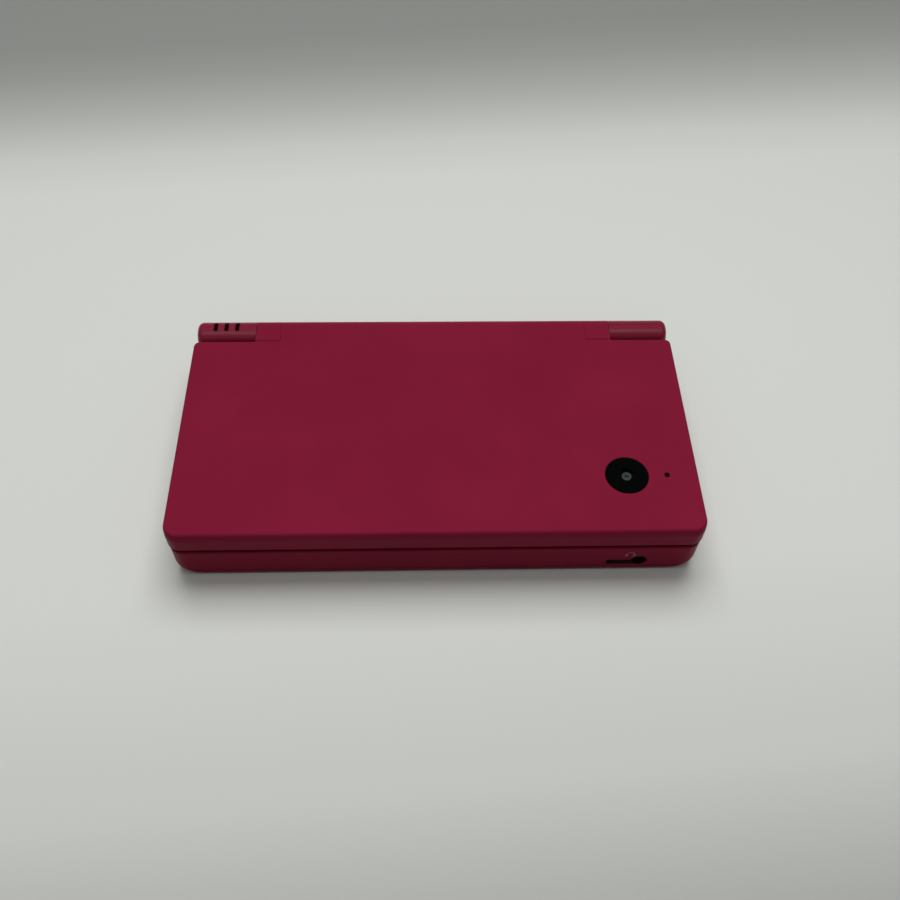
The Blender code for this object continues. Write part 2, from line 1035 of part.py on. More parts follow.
def round_key_hole(x, y, radius):
    return cylinder(
        "key_hole",
        "Z",
        (x, y),
        radius + key_hole_gap,
        deck_low - overrun,
        deck_height + overrun,
        key_round_steps,
    )


def face_key_place(name):
    step_x, step_y = face_key_offsets[name]
    return (
        face_keys_x + step_x * face_key_spacing,
        face_keys_y + step_y * face_key_spacing,
    )


def key_places():
    """Every round key on the deck: its name, place and radius."""
    places = [(name, *face_key_place(name), face_key_radius) for name in face_key_offsets]
    places.append(("start_button", small_keys_x, start_key_y, small_key_radius))
    places.append(("select_button", small_keys_x, select_key_y, small_key_radius))
    places.append(("power_button", -small_keys_x, select_key_y, power_key_radius))
    return places


def cross(name, grow, low, high):
    """The d-pad's cross, grown all round by a clearance."""
    half = dpad_span / 2 + grow
    arm = dpad_arm_width / 2 + grow
    radius = dpad_corner_radius
    across = rounded_box(
        name,
        dpad_x - half,
        dpad_x + half,
        face_keys_y - arm,
        face_keys_y + arm,
        low,
        high,
        radius,
    )
    along = rounded_box(
        "arm", dpad_x - arm, dpad_x + arm, face_keys_y - half, face_keys_y + half, low, high, radius
    )
    return join(across, along)


def slit_box(index, grow, low):
    """One light slit over the left knuckle."""
    x = slit_middle_x + (index - (slit_count - 1) / 2) * slit_pitch
    return box(
        "slit",
        x - slit_width / 2 + grow,
        x + slit_width / 2 - grow,
        slit_front_y + grow,
        slit_rear_y - grow,
        low,
        console_height + overrun,
    )


def screw_places():
    """Where the four case screws stand, with the names of their corners."""
    return (
        ("front_left", -case_screw_x, case_screw_front_y),
        ("front_right", case_screw_x, case_screw_front_y),
        ("rear_left", -case_screw_x, case_screw_rear_y),
        ("rear_right", case_screw_x, case_screw_rear_y),
    )


def foot_places():
    return (
        ("front_left", -foot_x, -foot_y),
        ("front_right", foot_x, -foot_y),
        ("rear_left", -foot_x, foot_y),
        ("rear_right", foot_x, foot_y),
    )


def stylus_ribs():
    """Ribs under the deck that hold the stylus."""
    ribs = []
    for share in stylus_rib_shares:
        x = half_width - share * stylus_length
        reach = stylus_radius + panel_gap + stylus_rib_margin
        ribs.append(
            box(
                "stylus_rib",
                x - stylus_rib_thickness / 2,
                x + stylus_rib_thickness / 2,
                stylus_y - reach,
                stylus_y + reach,
                stylus_height,
                deck_low + overrun,
            )
        )
    return ribs


def socket_openings():
    """Holes through the housing's walls for plugs, cards, stylus and rocker."""
    front = -half_depth
    slot = box(
        "audio_slot",
        audio_slot_left_x,
        audio_hole_x,
        front - overrun,
        front + base_wall + overrun,
        audio_slot_low,
        audio_slot_high,
    )
    hole = cylinder(
        "audio_hole",
        "Y",
        (audio_hole_x, audio_hole_z),
        audio_opening_radius,
        front - overrun,
        front + base_wall + overrun,
        key_round_steps,
    )
    game = box(
        "game_slot",
        -game_card_width / 2 - fit_gap,
        game_card_width / 2 + fit_gap,
        half_depth - base_wall - overrun,
        half_depth + overrun,
        game_slot_low,
        game_slot_high,
    )
    charger = box(
        "charger_opening",
        charger_x - charger_width / 2 + charger_shell,
        charger_x + charger_width / 2 - charger_shell,
        half_depth - base_wall - overrun,
        half_depth + overrun,
        charger_low + charger_shell,
        charger_high - charger_shell,
    )
    memory = box(
        "memory_opening",
        half_width - base_wall - overrun,
        half_width + overrun,
        memory_y - memory_cover_length / 2 - fit_gap,
        memory_y + memory_cover_length / 2 + fit_gap,
        memory_cover_low - panel_gap,
        memory_cover_low + memory_cover_height + panel_gap,
    )
    stylus = cylinder(
        "stylus_hole",
        "X",
        (stylus_y, stylus_height),
        stylus_radius + panel_gap,
        half_width - base_wall - overrun,
        half_width + overrun,
        key_round_steps,
    )
    rocker = box(
        "rocker_opening",
        -half_width - overrun,
        -half_width + base_wall + overrun,
        rocker_y - rocker_length / 2 - rocker_side_gap,
        rocker_y + rocker_length / 2 + rocker_side_gap,
        rocker_centre_z - rocker_height / 2 - panel_gap,
        rocker_centre_z + rocker_height / 2 + panel_gap,
    )
    return [slot, hole, game, charger, memory, stylus, rocker]


def shoulder_opening(side):
    """The open rear corner that a shoulder button fills."""
    low, high = sorted((side * (shoulder_inner_x - fit_gap), side * (half_width + overrun)))
    return box(
        "shoulder_opening",
        low,
        high,
        shoulder_front_y - shoulder_room,
        half_depth + overrun,
        shoulder_low - fit_gap,
        shoulder_high + fit_gap,
    )


def make_base_housing():
    rings = curve_levels(parting_height, base_curve_top, fillet_steps)
    for step in range(fillet_steps + 1):
        angle = 0.5 * math.pi * step / fillet_steps
        inset = base_top_fillet * (1 - math.cos(angle))
        z = deck_height - base_top_fillet * (1 - math.sin(angle))
        rings.append(level(base_outline(inset), z))
    housing = loft("base_housing", rings)
    cavity = prism(
        "cavity", base_outline(base_wall), "Z", parting_height - overrun, deck_low
    )
    cut(housing, cavity)
    bosses = [
        cylinder(
            "screw_boss",
            "Z",
            (x, y),
            case_boss_radius,
            board_height,
            deck_low + overrun,
        )
        for _, x, y in screw_places()
    ]
    join(housing, make_knuckle(-1), make_knuckle(1), *bosses)
    join(housing, *stylus_ribs())
    trough = hinge_rod(
        "trough",
        barrel_radius + trough_gap,
        -knuckle_inner_x,
        knuckle_inner_x,
        2 * barrel_steps,
    )
    touch_opening = box(
        "touch_opening",
        -touch_width / 2 - fit_gap,
        touch_width / 2 + fit_gap,
        display_centre_y - touch_depth / 2 - fit_gap,
        display_centre_y + touch_depth / 2 + fit_gap,
        deck_low - overrun,
        deck_height + overrun,
    )
    cut(housing, trough, touch_opening)
    cut(housing, *[round_key_hole(x, y, radius) for _, x, y, radius in key_places()])
    cut(
        housing,
        cross("cross_hole", dpad_hole_gap, deck_low - overrun, deck_height + overrun),
    )
    cut(housing, *socket_openings(), shoulder_opening(-1), shoulder_opening(1))
    screw_holes = [
        cylinder(
            "screw_hole",
            "Z",
            (x, y),
            screw_shank_radius + running_gap,
            board_height - overrun,
            case_screw_top + fit_gap,
        )
        for _, x, y in screw_places()
    ]
    stylus_bore = cylinder(
        "stylus_bore",
        "X",
        (stylus_y, stylus_height),
        stylus_radius + panel_gap,
        half_width - stylus_length,
        half_width - base_wall,
        key_round_steps,
    )
    cut(housing, *screw_holes, stylus_bore)
    clutch_hole = hinge_rod(
        "clutch_hole",
        clutch_shaft_radius + running_gap,
        knuckle_inner_x - overrun,
        knuckle_inner_x + clutch_shaft_reach + fit_gap,
    )
    bush_hole = hinge_rod(
        "bush_hole",
        bush_radius + running_gap,
        bush_outer_end_x - fit_gap,
        -knuckle_inner_x + overrun,
    )
    cable_hole = cylinder(
        "cable_hole",
        "Z",
        (base_cable_x, hinge_y),
        cable_radius + panel_gap,
        deck_low - overrun,
        hinge_z,
    )
    guide_pocket = box(
        "guide_pocket",
        guide_x0 - panel_gap,
        guide_x1 + panel_gap,
        guide_y0 - panel_gap,
        guide_y1 + panel_gap,
        deck_low - overrun,
        guide_top + panel_gap,
    )
    slits = [slit_box(index, 0.0, guide_top) for index in range(slit_count)]
    cut(housing, clutch_hole, bush_hole, cable_hole, guide_pocket, *slits)
    return dress(housing, "casing")


def make_base_bottom_cover():
    low_rings = curve_levels(base_bottom, parting_height - panel_gap, fillet_steps + 1)
    cover = loft("base_bottom_cover", low_rings)
    tray = prism(
        "tray",
        base_outline(base_inset(floor_top) + base_wall),
        "Z",
        floor_top,
        parting_height + overrun,
    )
    cut(cover, tray)
    bay_x = battery_width / 2 + fit_gap
    bay_y = battery_depth / 2 + fit_gap
    wall = box(
        "bay_wall",
        -bay_x - bay_wall,
        bay_x + bay_wall,
        battery_centre_y - bay_y - bay_wall,
        battery_centre_y + bay_y + bay_wall,
        floor_top - overrun,
        board_height - fit_gap,
    )
    posts = [
        cylinder(
            "case_post",
            "Z",
            (x, y),
            case_post_radius,
            floor_top - overrun,
            board_height - fit_gap,
        )
        for _, x, y in screw_places()
    ]
    pin_posts = [
        cylinder(
            "pin_post",
            "Z",
            (side * shoulder_pin_x, shoulder_pin_y),
            shoulder_post_radius,
            floor_top - overrun,
            shoulder_low - fit_gap,
        )
        for side in (-1, 1)
    ]
    screw_bosses = [
        cylinder(
            "battery_boss",
            "Z",
            (side * battery_screw_x, battery_screw_y),
            battery_boss_radius,
            floor_top - overrun,
            floor_top + battery_boss_height,
        )
        for side in (-1, 1)
    ]
    join(cover, wall, *posts, *pin_posts, *screw_bosses)
    bay = box(
        "bay",
        -bay_x,
        bay_x,
        battery_centre_y - bay_y,
        battery_centre_y + bay_y,
        base_bottom - overrun,
        board_height + overrun,
    )
    recess = rounded_box(
        "cover_recess",
        -battery_width / 2 - battery_ledge - panel_gap,
        battery_width / 2 + battery_ledge + panel_gap,
        battery_centre_y - battery_depth / 2 - battery_front_ledge - panel_gap,
        battery_centre_y + battery_depth / 2 + battery_front_ledge + panel_gap,
        base_bottom - overrun,
        base_bottom + battery_cover_thickness + running_gap,
        battery_cover_corner_radius,
    )
    cut(cover, bay, recess)
    feet = [
        cylinder(
            "foot_seat",
            "Z",
            (x, y),
            foot_radius + panel_gap,
            base_bottom - overrun,
            base_bottom + foot_seat_depth,
            key_round_steps,
        )
        for _, x, y in foot_places()
    ]
    heads = [
        cylinder(
            "head_hole",
            "Z",
            (x, y),
            screw_head_radius + panel_gap,
            base_bottom - overrun,
            case_screw_low + screw_head_height + running_gap,
        )
        for _, x, y in screw_places()
    ]
    shanks = [
        cylinder(
            "shank_hole",
            "Z",
            (x, y),
            screw_shank_radius + running_gap,
            base_bottom - overrun,
            board_height + overrun,
        )
        for _, x, y in screw_places()
    ]
    battery_shanks = [
        cylinder(
            "battery_shank_hole",
            "Z",
            (side * battery_screw_x, battery_screw_y),
            screw_shank_radius + running_gap,
            base_bottom,
            battery_screw_low + screw_head_height + battery_screw_length + fit_gap,
        )
        for side in (-1, 1)
    ]
    battery_heads = [
        cylinder(
            "battery_head_hole",
            "Z",
            (side * battery_screw_x, battery_screw_y),
            screw_head_radius + panel_gap,
            base_bottom - overrun,
            battery_screw_low + screw_head_height + running_gap,
        )
        for side in (-1, 1)
    ]
    cut(cover, *feet, *heads, *shanks, *battery_shanks, *battery_heads)
    game = box(
        "game_slot",
        -game_card_width / 2 - fit_gap,
        game_card_width / 2 + fit_gap,
        half_depth - base_curve_depth - base_wall - overrun,
        half_depth + overrun,
        game_slot_low,
        parting_height + overrun,
    )
    cut(cover, game)
    return dress(cover, "casing")


def make_touch_screen():
    glass = rounded_box(
        "touch_screen",
        -touch_width / 2,
        touch_width / 2,
        display_centre_y - touch_depth / 2,
        display_centre_y + touch_depth / 2,
        touch_low,
        touch_top,
        smallest_corner_radius,
    )
    return dress(glass, "black_glass")


def make_lower_display_panel():
    high = min(touch_low, deck_low) - panel_gap
    panel = box(
        "lower_display_panel",
        -lower_panel_width / 2,
        lower_panel_width / 2,
        display_centre_y - lower_panel_depth / 2,
        display_centre_y + lower_panel_depth / 2,
        high - lower_panel_thickness,
        high,
    )
    return dress(panel, "screen")


def make_main_board():
    board = box(
        "main_board",
        -board_width / 2,
        board_width / 2,
        board_front_y,
        board_rear_y,
        board_height,
        board_top,
    )
    notches = [
        cylinder(
            "notch",
            "Z",
            (x, y),
            case_post_radius + fit_gap,
            board_height - overrun,
            board_top + overrun,
        )
        for _, x, y in screw_places()
    ]
    jack_notch = box(
        "jack_notch",
        jack_body_left_x - fit_gap,
        jack_body_left_x + jack_body_width + fit_gap,
        board_front_y - overrun,
        -half_depth + base_wall + jack_body_depth + 2 * fit_gap,
        board_height - overrun,
        board_top + overrun,
    )
    cut(board, *notches, jack_notch)
    return dress(board, "board")


def make_game_card_connector():
    rear = half_depth - base_inset(floor_top) - base_wall - fit_gap
    x = game_card_width / 2 + fit_gap
    low = floor_top + fit_gap
    body = box(
        "game_card_connector",
        -x - game_rail_width,
        x + game_rail_width,
        rear - game_card_depth - game_block_depth,
        rear,
        low,
        game_slot_high,
    )
    bay = box(
        "card_bay",
        -x,
        x,
        rear - game_card_depth,
        rear + overrun,
        low - overrun,
        game_slot_high + overrun,
    )
    cut(body, bay)
    return dress(body, "module")


def make_memory_card_connector():
    outer = half_width - memory_cover_thickness - 2 * fit_gap
    y = memory_card_width / 2 + fit_gap
    body = box(
        "memory_card_connector",
        outer - memory_card_depth,
        outer,
        memory_y - y - memory_rail_width,
        memory_y + y + memory_rail_width,
        memory_connector_low,
        memory_connector_low + memory_connector_height,
    )
    rim_high = memory_connector_low + memory_connector_height + overrun
    trim_front = box(
        "trim_front",
        inner_wall_x - fit_gap,
        outer + overrun,
        memory_y - y - memory_rail_width - overrun,
        memory_y - memory_cover_length / 2 + panel_gap,
        memory_connector_low - overrun,
        rim_high,
    )
    trim_rear = box(
        "trim_rear",
        inner_wall_x - fit_gap,
        outer + overrun,
        memory_y + memory_cover_length / 2 - panel_gap,
        memory_y + y + memory_rail_width + overrun,
        memory_connector_low - overrun,
        rim_high,
    )
    trim_low = box(
        "trim_low",
        inner_wall_x - fit_gap,
        outer + overrun,
        memory_y - y - memory_rail_width - overrun,
        memory_y + y + memory_rail_width + overrun,
        memory_connector_low - overrun,
        memory_cover_low + running_gap,
    )
    slot = box(
        "memory_slot",
        outer - memory_card_depth + memory_rail_width,
        outer + overrun,
        memory_y - memory_card_width / 2,
        memory_y + memory_card_width / 2,
        memory_slot_low,
        memory_slot_low + memory_slot_height,
    )
    cut(body, trim_front, trim_rear, trim_low, slot)
    return dress(body, "steel")


def make_battery():
    pack = rounded_box(
        "battery_pack",
        -battery_width / 2,
        battery_width / 2,
        battery_centre_y - battery_depth / 2,
        battery_centre_y + battery_depth / 2,
        battery_low,
        battery_low + battery_thickness,
        battery_cover_corner_radius,
    )
    return dress(pack, "battery")


def make_battery_cover():
    cover = rounded_box(
        "battery_cover",
        -battery_width / 2 - battery_ledge,
        battery_width / 2 + battery_ledge,
        battery_centre_y - battery_depth / 2 - battery_front_ledge,
        battery_centre_y + battery_depth / 2 + battery_front_ledge,
        base_bottom,
        base_bottom + battery_cover_thickness - panel_gap,
        battery_cover_corner_radius,
    )
    holes = [
        cylinder(
            "screw_hole",
            "Z",
            (side * battery_screw_x, battery_screw_y),
            screw_head_radius + panel_gap,
            base_bottom - overrun,
            base_bottom + battery_cover_thickness + overrun,
        )
        for side in (-1, 1)
    ]
    cut(cover, *holes)
    return dress(cover, "casing")


def make_screw(name, x, y, low, length):
    """A small screw standing head down."""
    screw = turned(
        name,
        "Z",
        (x, y),
        [
            (screw_head_radius, low),
            (screw_head_radius, low + screw_head_height),
            (screw_shank_radius, low + screw_head_height),
            (screw_shank_radius, low + screw_head_height + length),
        ],
        small_round_steps,
    )
    return dress(screw, "steel")


def make_foot(name, x, y):
    foot = turned(
        name,
        "Z",
        (x, y),
        [
            (foot_radius - fit_gap, 0.0),
            (foot_radius, fit_gap),
            (foot_radius, foot_height),
        ],
        key_round_steps,
    )
    return dress(foot, "rubber")


def make_face_button_pad():
    """The rubber sheet under the face buttons."""
    reach = face_key_spacing + face_key_radius - pad_margin
    pad = rounded_box(
        "face_button_pad",
        face_keys_x - reach,
        face_keys_x + reach,
        face_keys_y - reach,
        face_keys_y + reach,
        pad_low,
        pad_top,
        face_key_radius,
    )
    return dress(pad, "rubber")


def make_headphone_jack():
    front = -half_depth + base_wall + fit_gap
    jack = box(
        "headphone_jack",
        jack_body_left_x,
        jack_body_left_x + jack_body_width,
        front,
        front + jack_body_depth,
        jack_body_low,
        jack_body_high,
    )
    bore = cylinder(
        "jack_bore",
        "Y",
        (audio_hole_x, audio_hole_z),
        jack_bore_radius,
        front - overrun,
        front + jack_body_depth - jack_bore_radius,
        key_round_steps,
    )
    cut(jack, bore)
    return dress(jack, "module")


def make_charger_inlet():
    rear = half_depth - base_wall - fit_gap
    inlet = box(
        "charger_inlet",
        charger_x - charger_width / 2,
        charger_x + charger_width / 2,
        rear - charger_depth,
        rear,
        charger_low,
        charger_high,
    )
    mouth = box(
        "mouth",
        charger_x - charger_width / 2 + charger_shell,
        charger_x + charger_width / 2 - charger_shell,
        rear - charger_depth + charger_shell,
        rear + overrun,
        charger_low + charger_shell,
        charger_high - charger_shell,
    )
    cut(inlet, mouth)
    middle = (charger_low + charger_high) / 2
    tongue = box(
        "tongue",
        charger_x - charger_width / 2 + 2 * charger_shell,
        charger_x + charger_width / 2 - 2 * charger_shell,
        rear - charger_depth + charger_shell / 2,
        rear - charger_shell,
        middle - charger_tongue_height / 2,
        middle + charger_tongue_height / 2,
    )
    join(inlet, tongue)
    return dress(inlet, "steel")


def make_status_light_guide():
    guide = box(
        "status_light_guide", guide_x0, guide_x1, guide_y0, guide_y1, guide_low, guide_top
    )
    fins = [
        slit_box(index, running_gap, guide_top - overrun) for index in range(slit_count)
    ]
    join(guide, *fins)
    barrel = cylinder(
        "barrel",
        "X",
        (hinge_y, hinge_z),
        barrel_radius,
        guide_x0 - overrun,
        guide_x1 + overrun,
        2 * barrel_steps,
    )
    below = box(
        "below",
        guide_x0 - overrun,
        guide_x1 + overrun,
        guide_y0 - overrun,
        guide_y1 + overrun,
        guide_low - overrun,
        hinge_z,
    )
    join(barrel, below)
    keep_inside(guide, barrel)
    return dress(guide, "light_guide")


def make_hinge_bush():
    bush = hinge_rod("hinge_bush", bush_radius, bush_outer_end_x, bush_inner_end_x)
    bore = hinge_rod(
        "bush_bore",
        bush_bore_radius,
        bush_outer_end_x - overrun,
        bush_inner_end_x + overrun,
    )
    entry = box(
        "cable_entry",
        bush_outer_end_x - overrun,
        base_cable_x + cable_radius + panel_gap,
        hinge_y - cable_radius - panel_gap,
        hinge_y + cable_radius + panel_gap,
        hinge_z - bush_radius - overrun,
        hinge_z,
    )
    cut(bush, bore, entry)
    return dress(bush, "steel")


def make_base_display_cable():
    start = Vector((base_cable_x, hinge_y, board_top))
    corner = Vector((base_cable_x, hinge_y, hinge_z))
    end = Vector((cable_meeting_x - fit_gap / 2, hinge_y, hinge_z))
    path = bent_path(start, corner, end, 2 * cable_radius)
    cable = tube_along("base_display_cable", path, cable_radius, cable_sides)
    return dress(cable, "cable")


# Pieces that move on the base


def make_round_key(name, x, y, radius):
    top = deck_height + key_proud
    key = turned(
        name,
        "Z",
        (x, y),
        [
            (radius + key_flange_width, key_flange_low),
            (radius + key_flange_width, key_flange_top),
            (radius, key_flange_top),
            (radius, top - key_crown),
            (radius - key_crown, top),
        ],
        key_round_steps,
    )
    dress(key, "key")
    pivot_at(name + "_slide", (x, y, key_flange_low), [key])


def make_dpad():
    flange_top = deck_low - dpad_flange_top_gap
    pad = cross("dpad", 0.0, flange_top - overrun, deck_height + dpad_proud)
    flange = cylinder(
        "flange",
        "Z",
        (dpad_x, face_keys_y),
        dpad_flange_radius,
        flange_top - dpad_flange_thickness,
        flange_top,
        disc_steps,
    )
    join(pad, flange)
    dress(pad, "key")
    dome_top = flange_top - dpad_flange_thickness - running_gap
    dome = turned(
        "dpad_dome",
        "Z",
        (dpad_x, face_keys_y),
        [(dome_radius, dome_top - dome_height), (dome_radius, dome_top)],
        small_round_steps,
    )
    dress(dome, "rubber")
    pivot_at("dpad_rock", (dpad_x, face_keys_y, dpad_rock_z), [pad, dome])


def make_volume_rocker():
    outer = -half_width + rocker_sink
    rocker = rounded_box(
        "volume_rocker",
        outer,
        outer + rocker_thickness,
        rocker_y - rocker_length / 2,
        rocker_y + rocker_length / 2,
        rocker_centre_z - rocker_height / 2,
        rocker_centre_z + rocker_height / 2,
        smallest_corner_radius,
    )
    dress(rocker, "casing")
    pivot_at("rocker_tip", (outer + rocker_thickness, rocker_y, rocker_centre_z), [rocker])


def make_shoulder_button(name, side):
    block = prism(name, base_outline(0.0), "Z", shoulder_low, shoulder_high)
    low, high = sorted((side * shoulder_inner_x, side * (half_width + overrun)))
    corner = box(
        "corner",
        low,
        high,
        shoulder_front_y,
        half_depth + overrun,
        shoulder_low - overrun,
        shoulder_high + overrun,
    )
    keep_inside(block, corner)
    place = (side * shoulder_pin_x, shoulder_pin_y)
    pin_hole = cylinder(
        "pin_hole",
        "Z",
        place,
        shoulder_pin_radius + running_gap,
        shoulder_low - overrun,
        shoulder_high + overrun,
    )
    middle = (shoulder_low + shoulder_high) / 2
    spring_room = cylinder(
        "spring_room",
        "Z",
        place,
        spring_room_radius,
        middle - spring_room_height / 2,
        middle + spring_room_height / 2,
    )
    low, high = sorted(
        (side * (shoulder_pin_x - spring_room_radius), side * (shoulder_inner_x - overrun))
    )
    mouth = box(
        "mouth",
        low,
        high,
        shoulder_front_y - overrun,
        shoulder_pin_y + spring_room_radius / 2,
        middle - spring_room_height / 2,
        middle + spring_room_height / 2,
    )
    cut(block, pin_hole, spring_room, mouth)
    dress(block, "casing")
    pivot_at(name + "_pivot", (*place, middle), [block])


def make_shoulder_pin(name, side):
    pin = cylinder(
        name,
        "Z",
        (side * shoulder_pin_x, shoulder_pin_y),
        shoulder_pin_radius,
        shoulder_low,
        shoulder_high,
    )
    return dress(pin, "steel")


def make_shoulder_spring(name, side):
    middle = (shoulder_low + shoulder_high) / 2
    count = spring_turns * spring_points_per_turn
    path = []
    for step in range(count + 1):
        angle = 2 * math.pi * step / spring_points_per_turn
        path.append(
            Vector(
                (
                    side * (shoulder_pin_x + spring_coil_radius * math.cos(angle)),
                    shoulder_pin_y + spring_coil_radius * math.sin(angle),
                    middle + spring_pitch * spring_turns * (step / count - 1 / 2),
                )
            )
        )
    spring = tube_along(name, path, spring_wire_radius, spring_sides)
    return dress(spring, "steel")


def make_memory_card_cover():
    high_z = memory_cover_low + memory_cover_height
    outer = half_width
    pivot_x = outer - memory_cover_thickness / 2
    pivot_y = memory_y + memory_cover_length / 2 - memory_cover_thickness / 2
    cover = box(
        "memory_card_cover",
        outer - memory_cover_thickness,
        outer,
        memory_y - memory_cover_length / 2,
        pivot_y,
        memory_cover_low,
        high_z,
    )
    knuckle = cylinder(
        "cover_knuckle",
        "Z",
        (pivot_x, pivot_y),
        memory_cover_thickness / 2,
        memory_cover_low,
        high_z,
        key_round_steps,
    )
    join(cover, knuckle)
    curve = loft(
        "curve", curve_levels(base_bottom, base_curve_top, 2 * fillet_steps)
        + [level(base_outline(0.0), deck_height)]
    )
    keep_inside(cover, curve)
    dress(cover, "casing")
    pivot_at("memory_cover_pivot", (pivot_x, pivot_y, memory_cover_low), [cover])


def make_stylus():
    outer = half_width - running_gap
    stylus = turned(
        "stylus",
        "X",
        (stylus_y, stylus_height),
        [
            (stylus_tip_radius, outer - stylus_length),
            (stylus_radius, outer - stylus_length + stylus_tip_length),
            (stylus_radius, outer - fit_gap),
            (stylus_radius - fit_gap, outer),
        ],
        key_round_steps,
    )
    dress(stylus, "casing")
    pivot_at("stylus_slide", (outer, stylus_y, stylus_height), [stylus])


def make_lid():
    pieces = [
        make_lid_outer_shell(),
        make_lid_inner_bezel(),
        make_upper_display_window(),
        make_upper_display_panel(),
        make_speaker("left_speaker", -1),
        make_speaker("right_speaker", 1),
        make_outer_camera_cover(),
        make_outer_camera_module(),
        make_camera_light(),
        make_inner_camera(),
        make_microphone(),
        make_lid_bumper("lid_bumper_left", -1),
        make_lid_bumper("lid_bumper_right", 1),
        make_hinge_cap("hinge_cap_left", -1),
        make_hinge_cap("hinge_cap_right", 1),
        make_hinge_clutch(),
        make_lid_display_cable(),
    ]
    pivot_at("lid_hinge", (0.0, hinge_y, hinge_z), pieces)


def make_base():
    make_base_housing()
    make_base_bottom_cover()
    make_touch_screen()
    make_lower_display_panel()
    make_main_board()
    make_game_card_connector()
    make_memory_card_connector()
    make_battery()
    make_battery_cover()
    make_screw(
        "battery_screw_left",
        -battery_screw_x,
        battery_screw_y,
        battery_screw_low,
        battery_screw_length,
    )
    make_screw(
        "battery_screw_right",
        battery_screw_x,
        battery_screw_y,
        battery_screw_low,
        battery_screw_length,
    )
    for corner, x, y in screw_places():
        make_screw("case_screw_" + corner, x, y, case_screw_low, case_screw_length)
    for corner, x, y in foot_places():
        make_foot("foot_" + corner, x, y)
    make_face_button_pad()
    make_headphone_jack()
    make_charger_inlet()
    make_status_light_guide()
    make_hinge_bush()
    make_base_display_cable()
    for word, side in (("left", -1), ("right", 1)):
        make_shoulder_pin("shoulder_pin_" + word, side)
        make_shoulder_spring("shoulder_spring_" + word, side)


def make_controls():
    for name, x, y, radius in key_places():
        make_round_key(name, x, y, radius)
    make_dpad()
    make_volume_rocker()
    make_shoulder_button("shoulder_button_left", -1)
    make_shoulder_button("shoulder_button_right", 1)
    make_memory_card_cover()
    make_stylus()


clear_scene()
make_lid()
make_base()
make_controls()
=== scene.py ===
# %% [markdown]
# # A clamshell handheld console, dressed around its CAD frame
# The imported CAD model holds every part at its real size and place. It is loaded first and
# never moved. Each visible part is then modelled again with its soft edges, seams and marks,
# and rides on the same moving body, so the lid still opens and the keys still press.

# %% Load the frame
import json
import math

import bmesh
import bpy
from mathutils import Matrix, Vector

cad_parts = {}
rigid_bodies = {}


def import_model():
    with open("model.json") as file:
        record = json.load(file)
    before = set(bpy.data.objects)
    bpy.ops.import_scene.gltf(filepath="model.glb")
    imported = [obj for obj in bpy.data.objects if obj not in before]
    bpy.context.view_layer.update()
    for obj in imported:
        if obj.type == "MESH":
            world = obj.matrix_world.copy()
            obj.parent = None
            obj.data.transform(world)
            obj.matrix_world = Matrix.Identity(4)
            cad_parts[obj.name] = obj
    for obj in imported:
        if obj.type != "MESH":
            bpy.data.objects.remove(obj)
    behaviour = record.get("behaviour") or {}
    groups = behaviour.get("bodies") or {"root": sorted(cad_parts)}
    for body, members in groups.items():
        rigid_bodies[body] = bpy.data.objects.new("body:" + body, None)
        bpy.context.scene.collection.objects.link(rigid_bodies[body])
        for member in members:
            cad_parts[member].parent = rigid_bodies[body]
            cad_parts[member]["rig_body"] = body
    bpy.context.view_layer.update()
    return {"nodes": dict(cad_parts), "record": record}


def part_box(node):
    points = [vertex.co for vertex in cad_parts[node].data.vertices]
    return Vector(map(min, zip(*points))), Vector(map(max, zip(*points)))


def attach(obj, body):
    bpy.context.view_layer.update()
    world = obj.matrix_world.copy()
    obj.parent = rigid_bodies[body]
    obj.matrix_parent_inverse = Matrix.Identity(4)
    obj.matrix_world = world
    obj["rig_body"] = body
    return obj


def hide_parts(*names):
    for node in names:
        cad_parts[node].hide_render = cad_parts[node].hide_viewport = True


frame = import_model()
mm = 0.001

# %% [markdown]
# ## The camera
# The console lies about 28 cm from the lens, seen from the front and above. Place and turn
# come from matching the corners of the closed console, whose size is known, to the picture.
# A camera looks along its own -Z, so its three axes are built from the direction of view and
# put in a matrix as columns.

# %% Camera
camera_place = Vector((-3.82, -161.78, 226.63)) * mm
camera_yaw, camera_pitch, camera_roll = 0.05012, 0.94338, 0.03196
camera_lens, camera_sensor = 38.80, 36.0
nearest_seen = 10 * mm


def add_object(name, data):
    thing = bpy.data.objects.new(name, data)
    bpy.context.scene.collection.objects.link(thing)
    return thing


ahead = Vector((math.sin(camera_yaw) * math.cos(camera_pitch),
                math.cos(camera_yaw) * math.cos(camera_pitch),
                -math.sin(camera_pitch)))
level_right = Vector((math.cos(camera_yaw), -math.sin(camera_yaw), 0))
level_up = level_right.cross(ahead)
right = math.cos(camera_roll) * level_right + math.sin(camera_roll) * level_up
up = math.cos(camera_roll) * level_up - math.sin(camera_roll) * level_right
camera = add_object("camera", bpy.data.cameras.new("camera"))
camera.data.lens = camera_lens
camera.data.sensor_width = camera_sensor
camera.data.clip_start = nearest_seen
camera_turn = Matrix((right, up, -ahead)).transposed().to_4x4()
camera.matrix_world = Matrix.Translation(camera_place) @ camera_turn
bpy.context.scene.camera = camera
print("camera looks down by", round(math.degrees(camera_pitch)), "degrees")

# %% [markdown]
# ## Building shapes from rings
# Moulded plastic has few sharp edges, so most pieces here are lofts: the outline is drawn
# several times at different heights, a little smaller each time where an edge is round, and
# the rings are joined by faces. Every size from here on is in millimetres, as on a drawing,
# and a loft turns it into Blender's metres.

# %% Boxes of the CAD nodes
def box(node):
    """A CAD node's lowest and highest corners."""
    return [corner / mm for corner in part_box(node)]


def middle(node):
    low, high = box(node)
    return (low + high) / 2


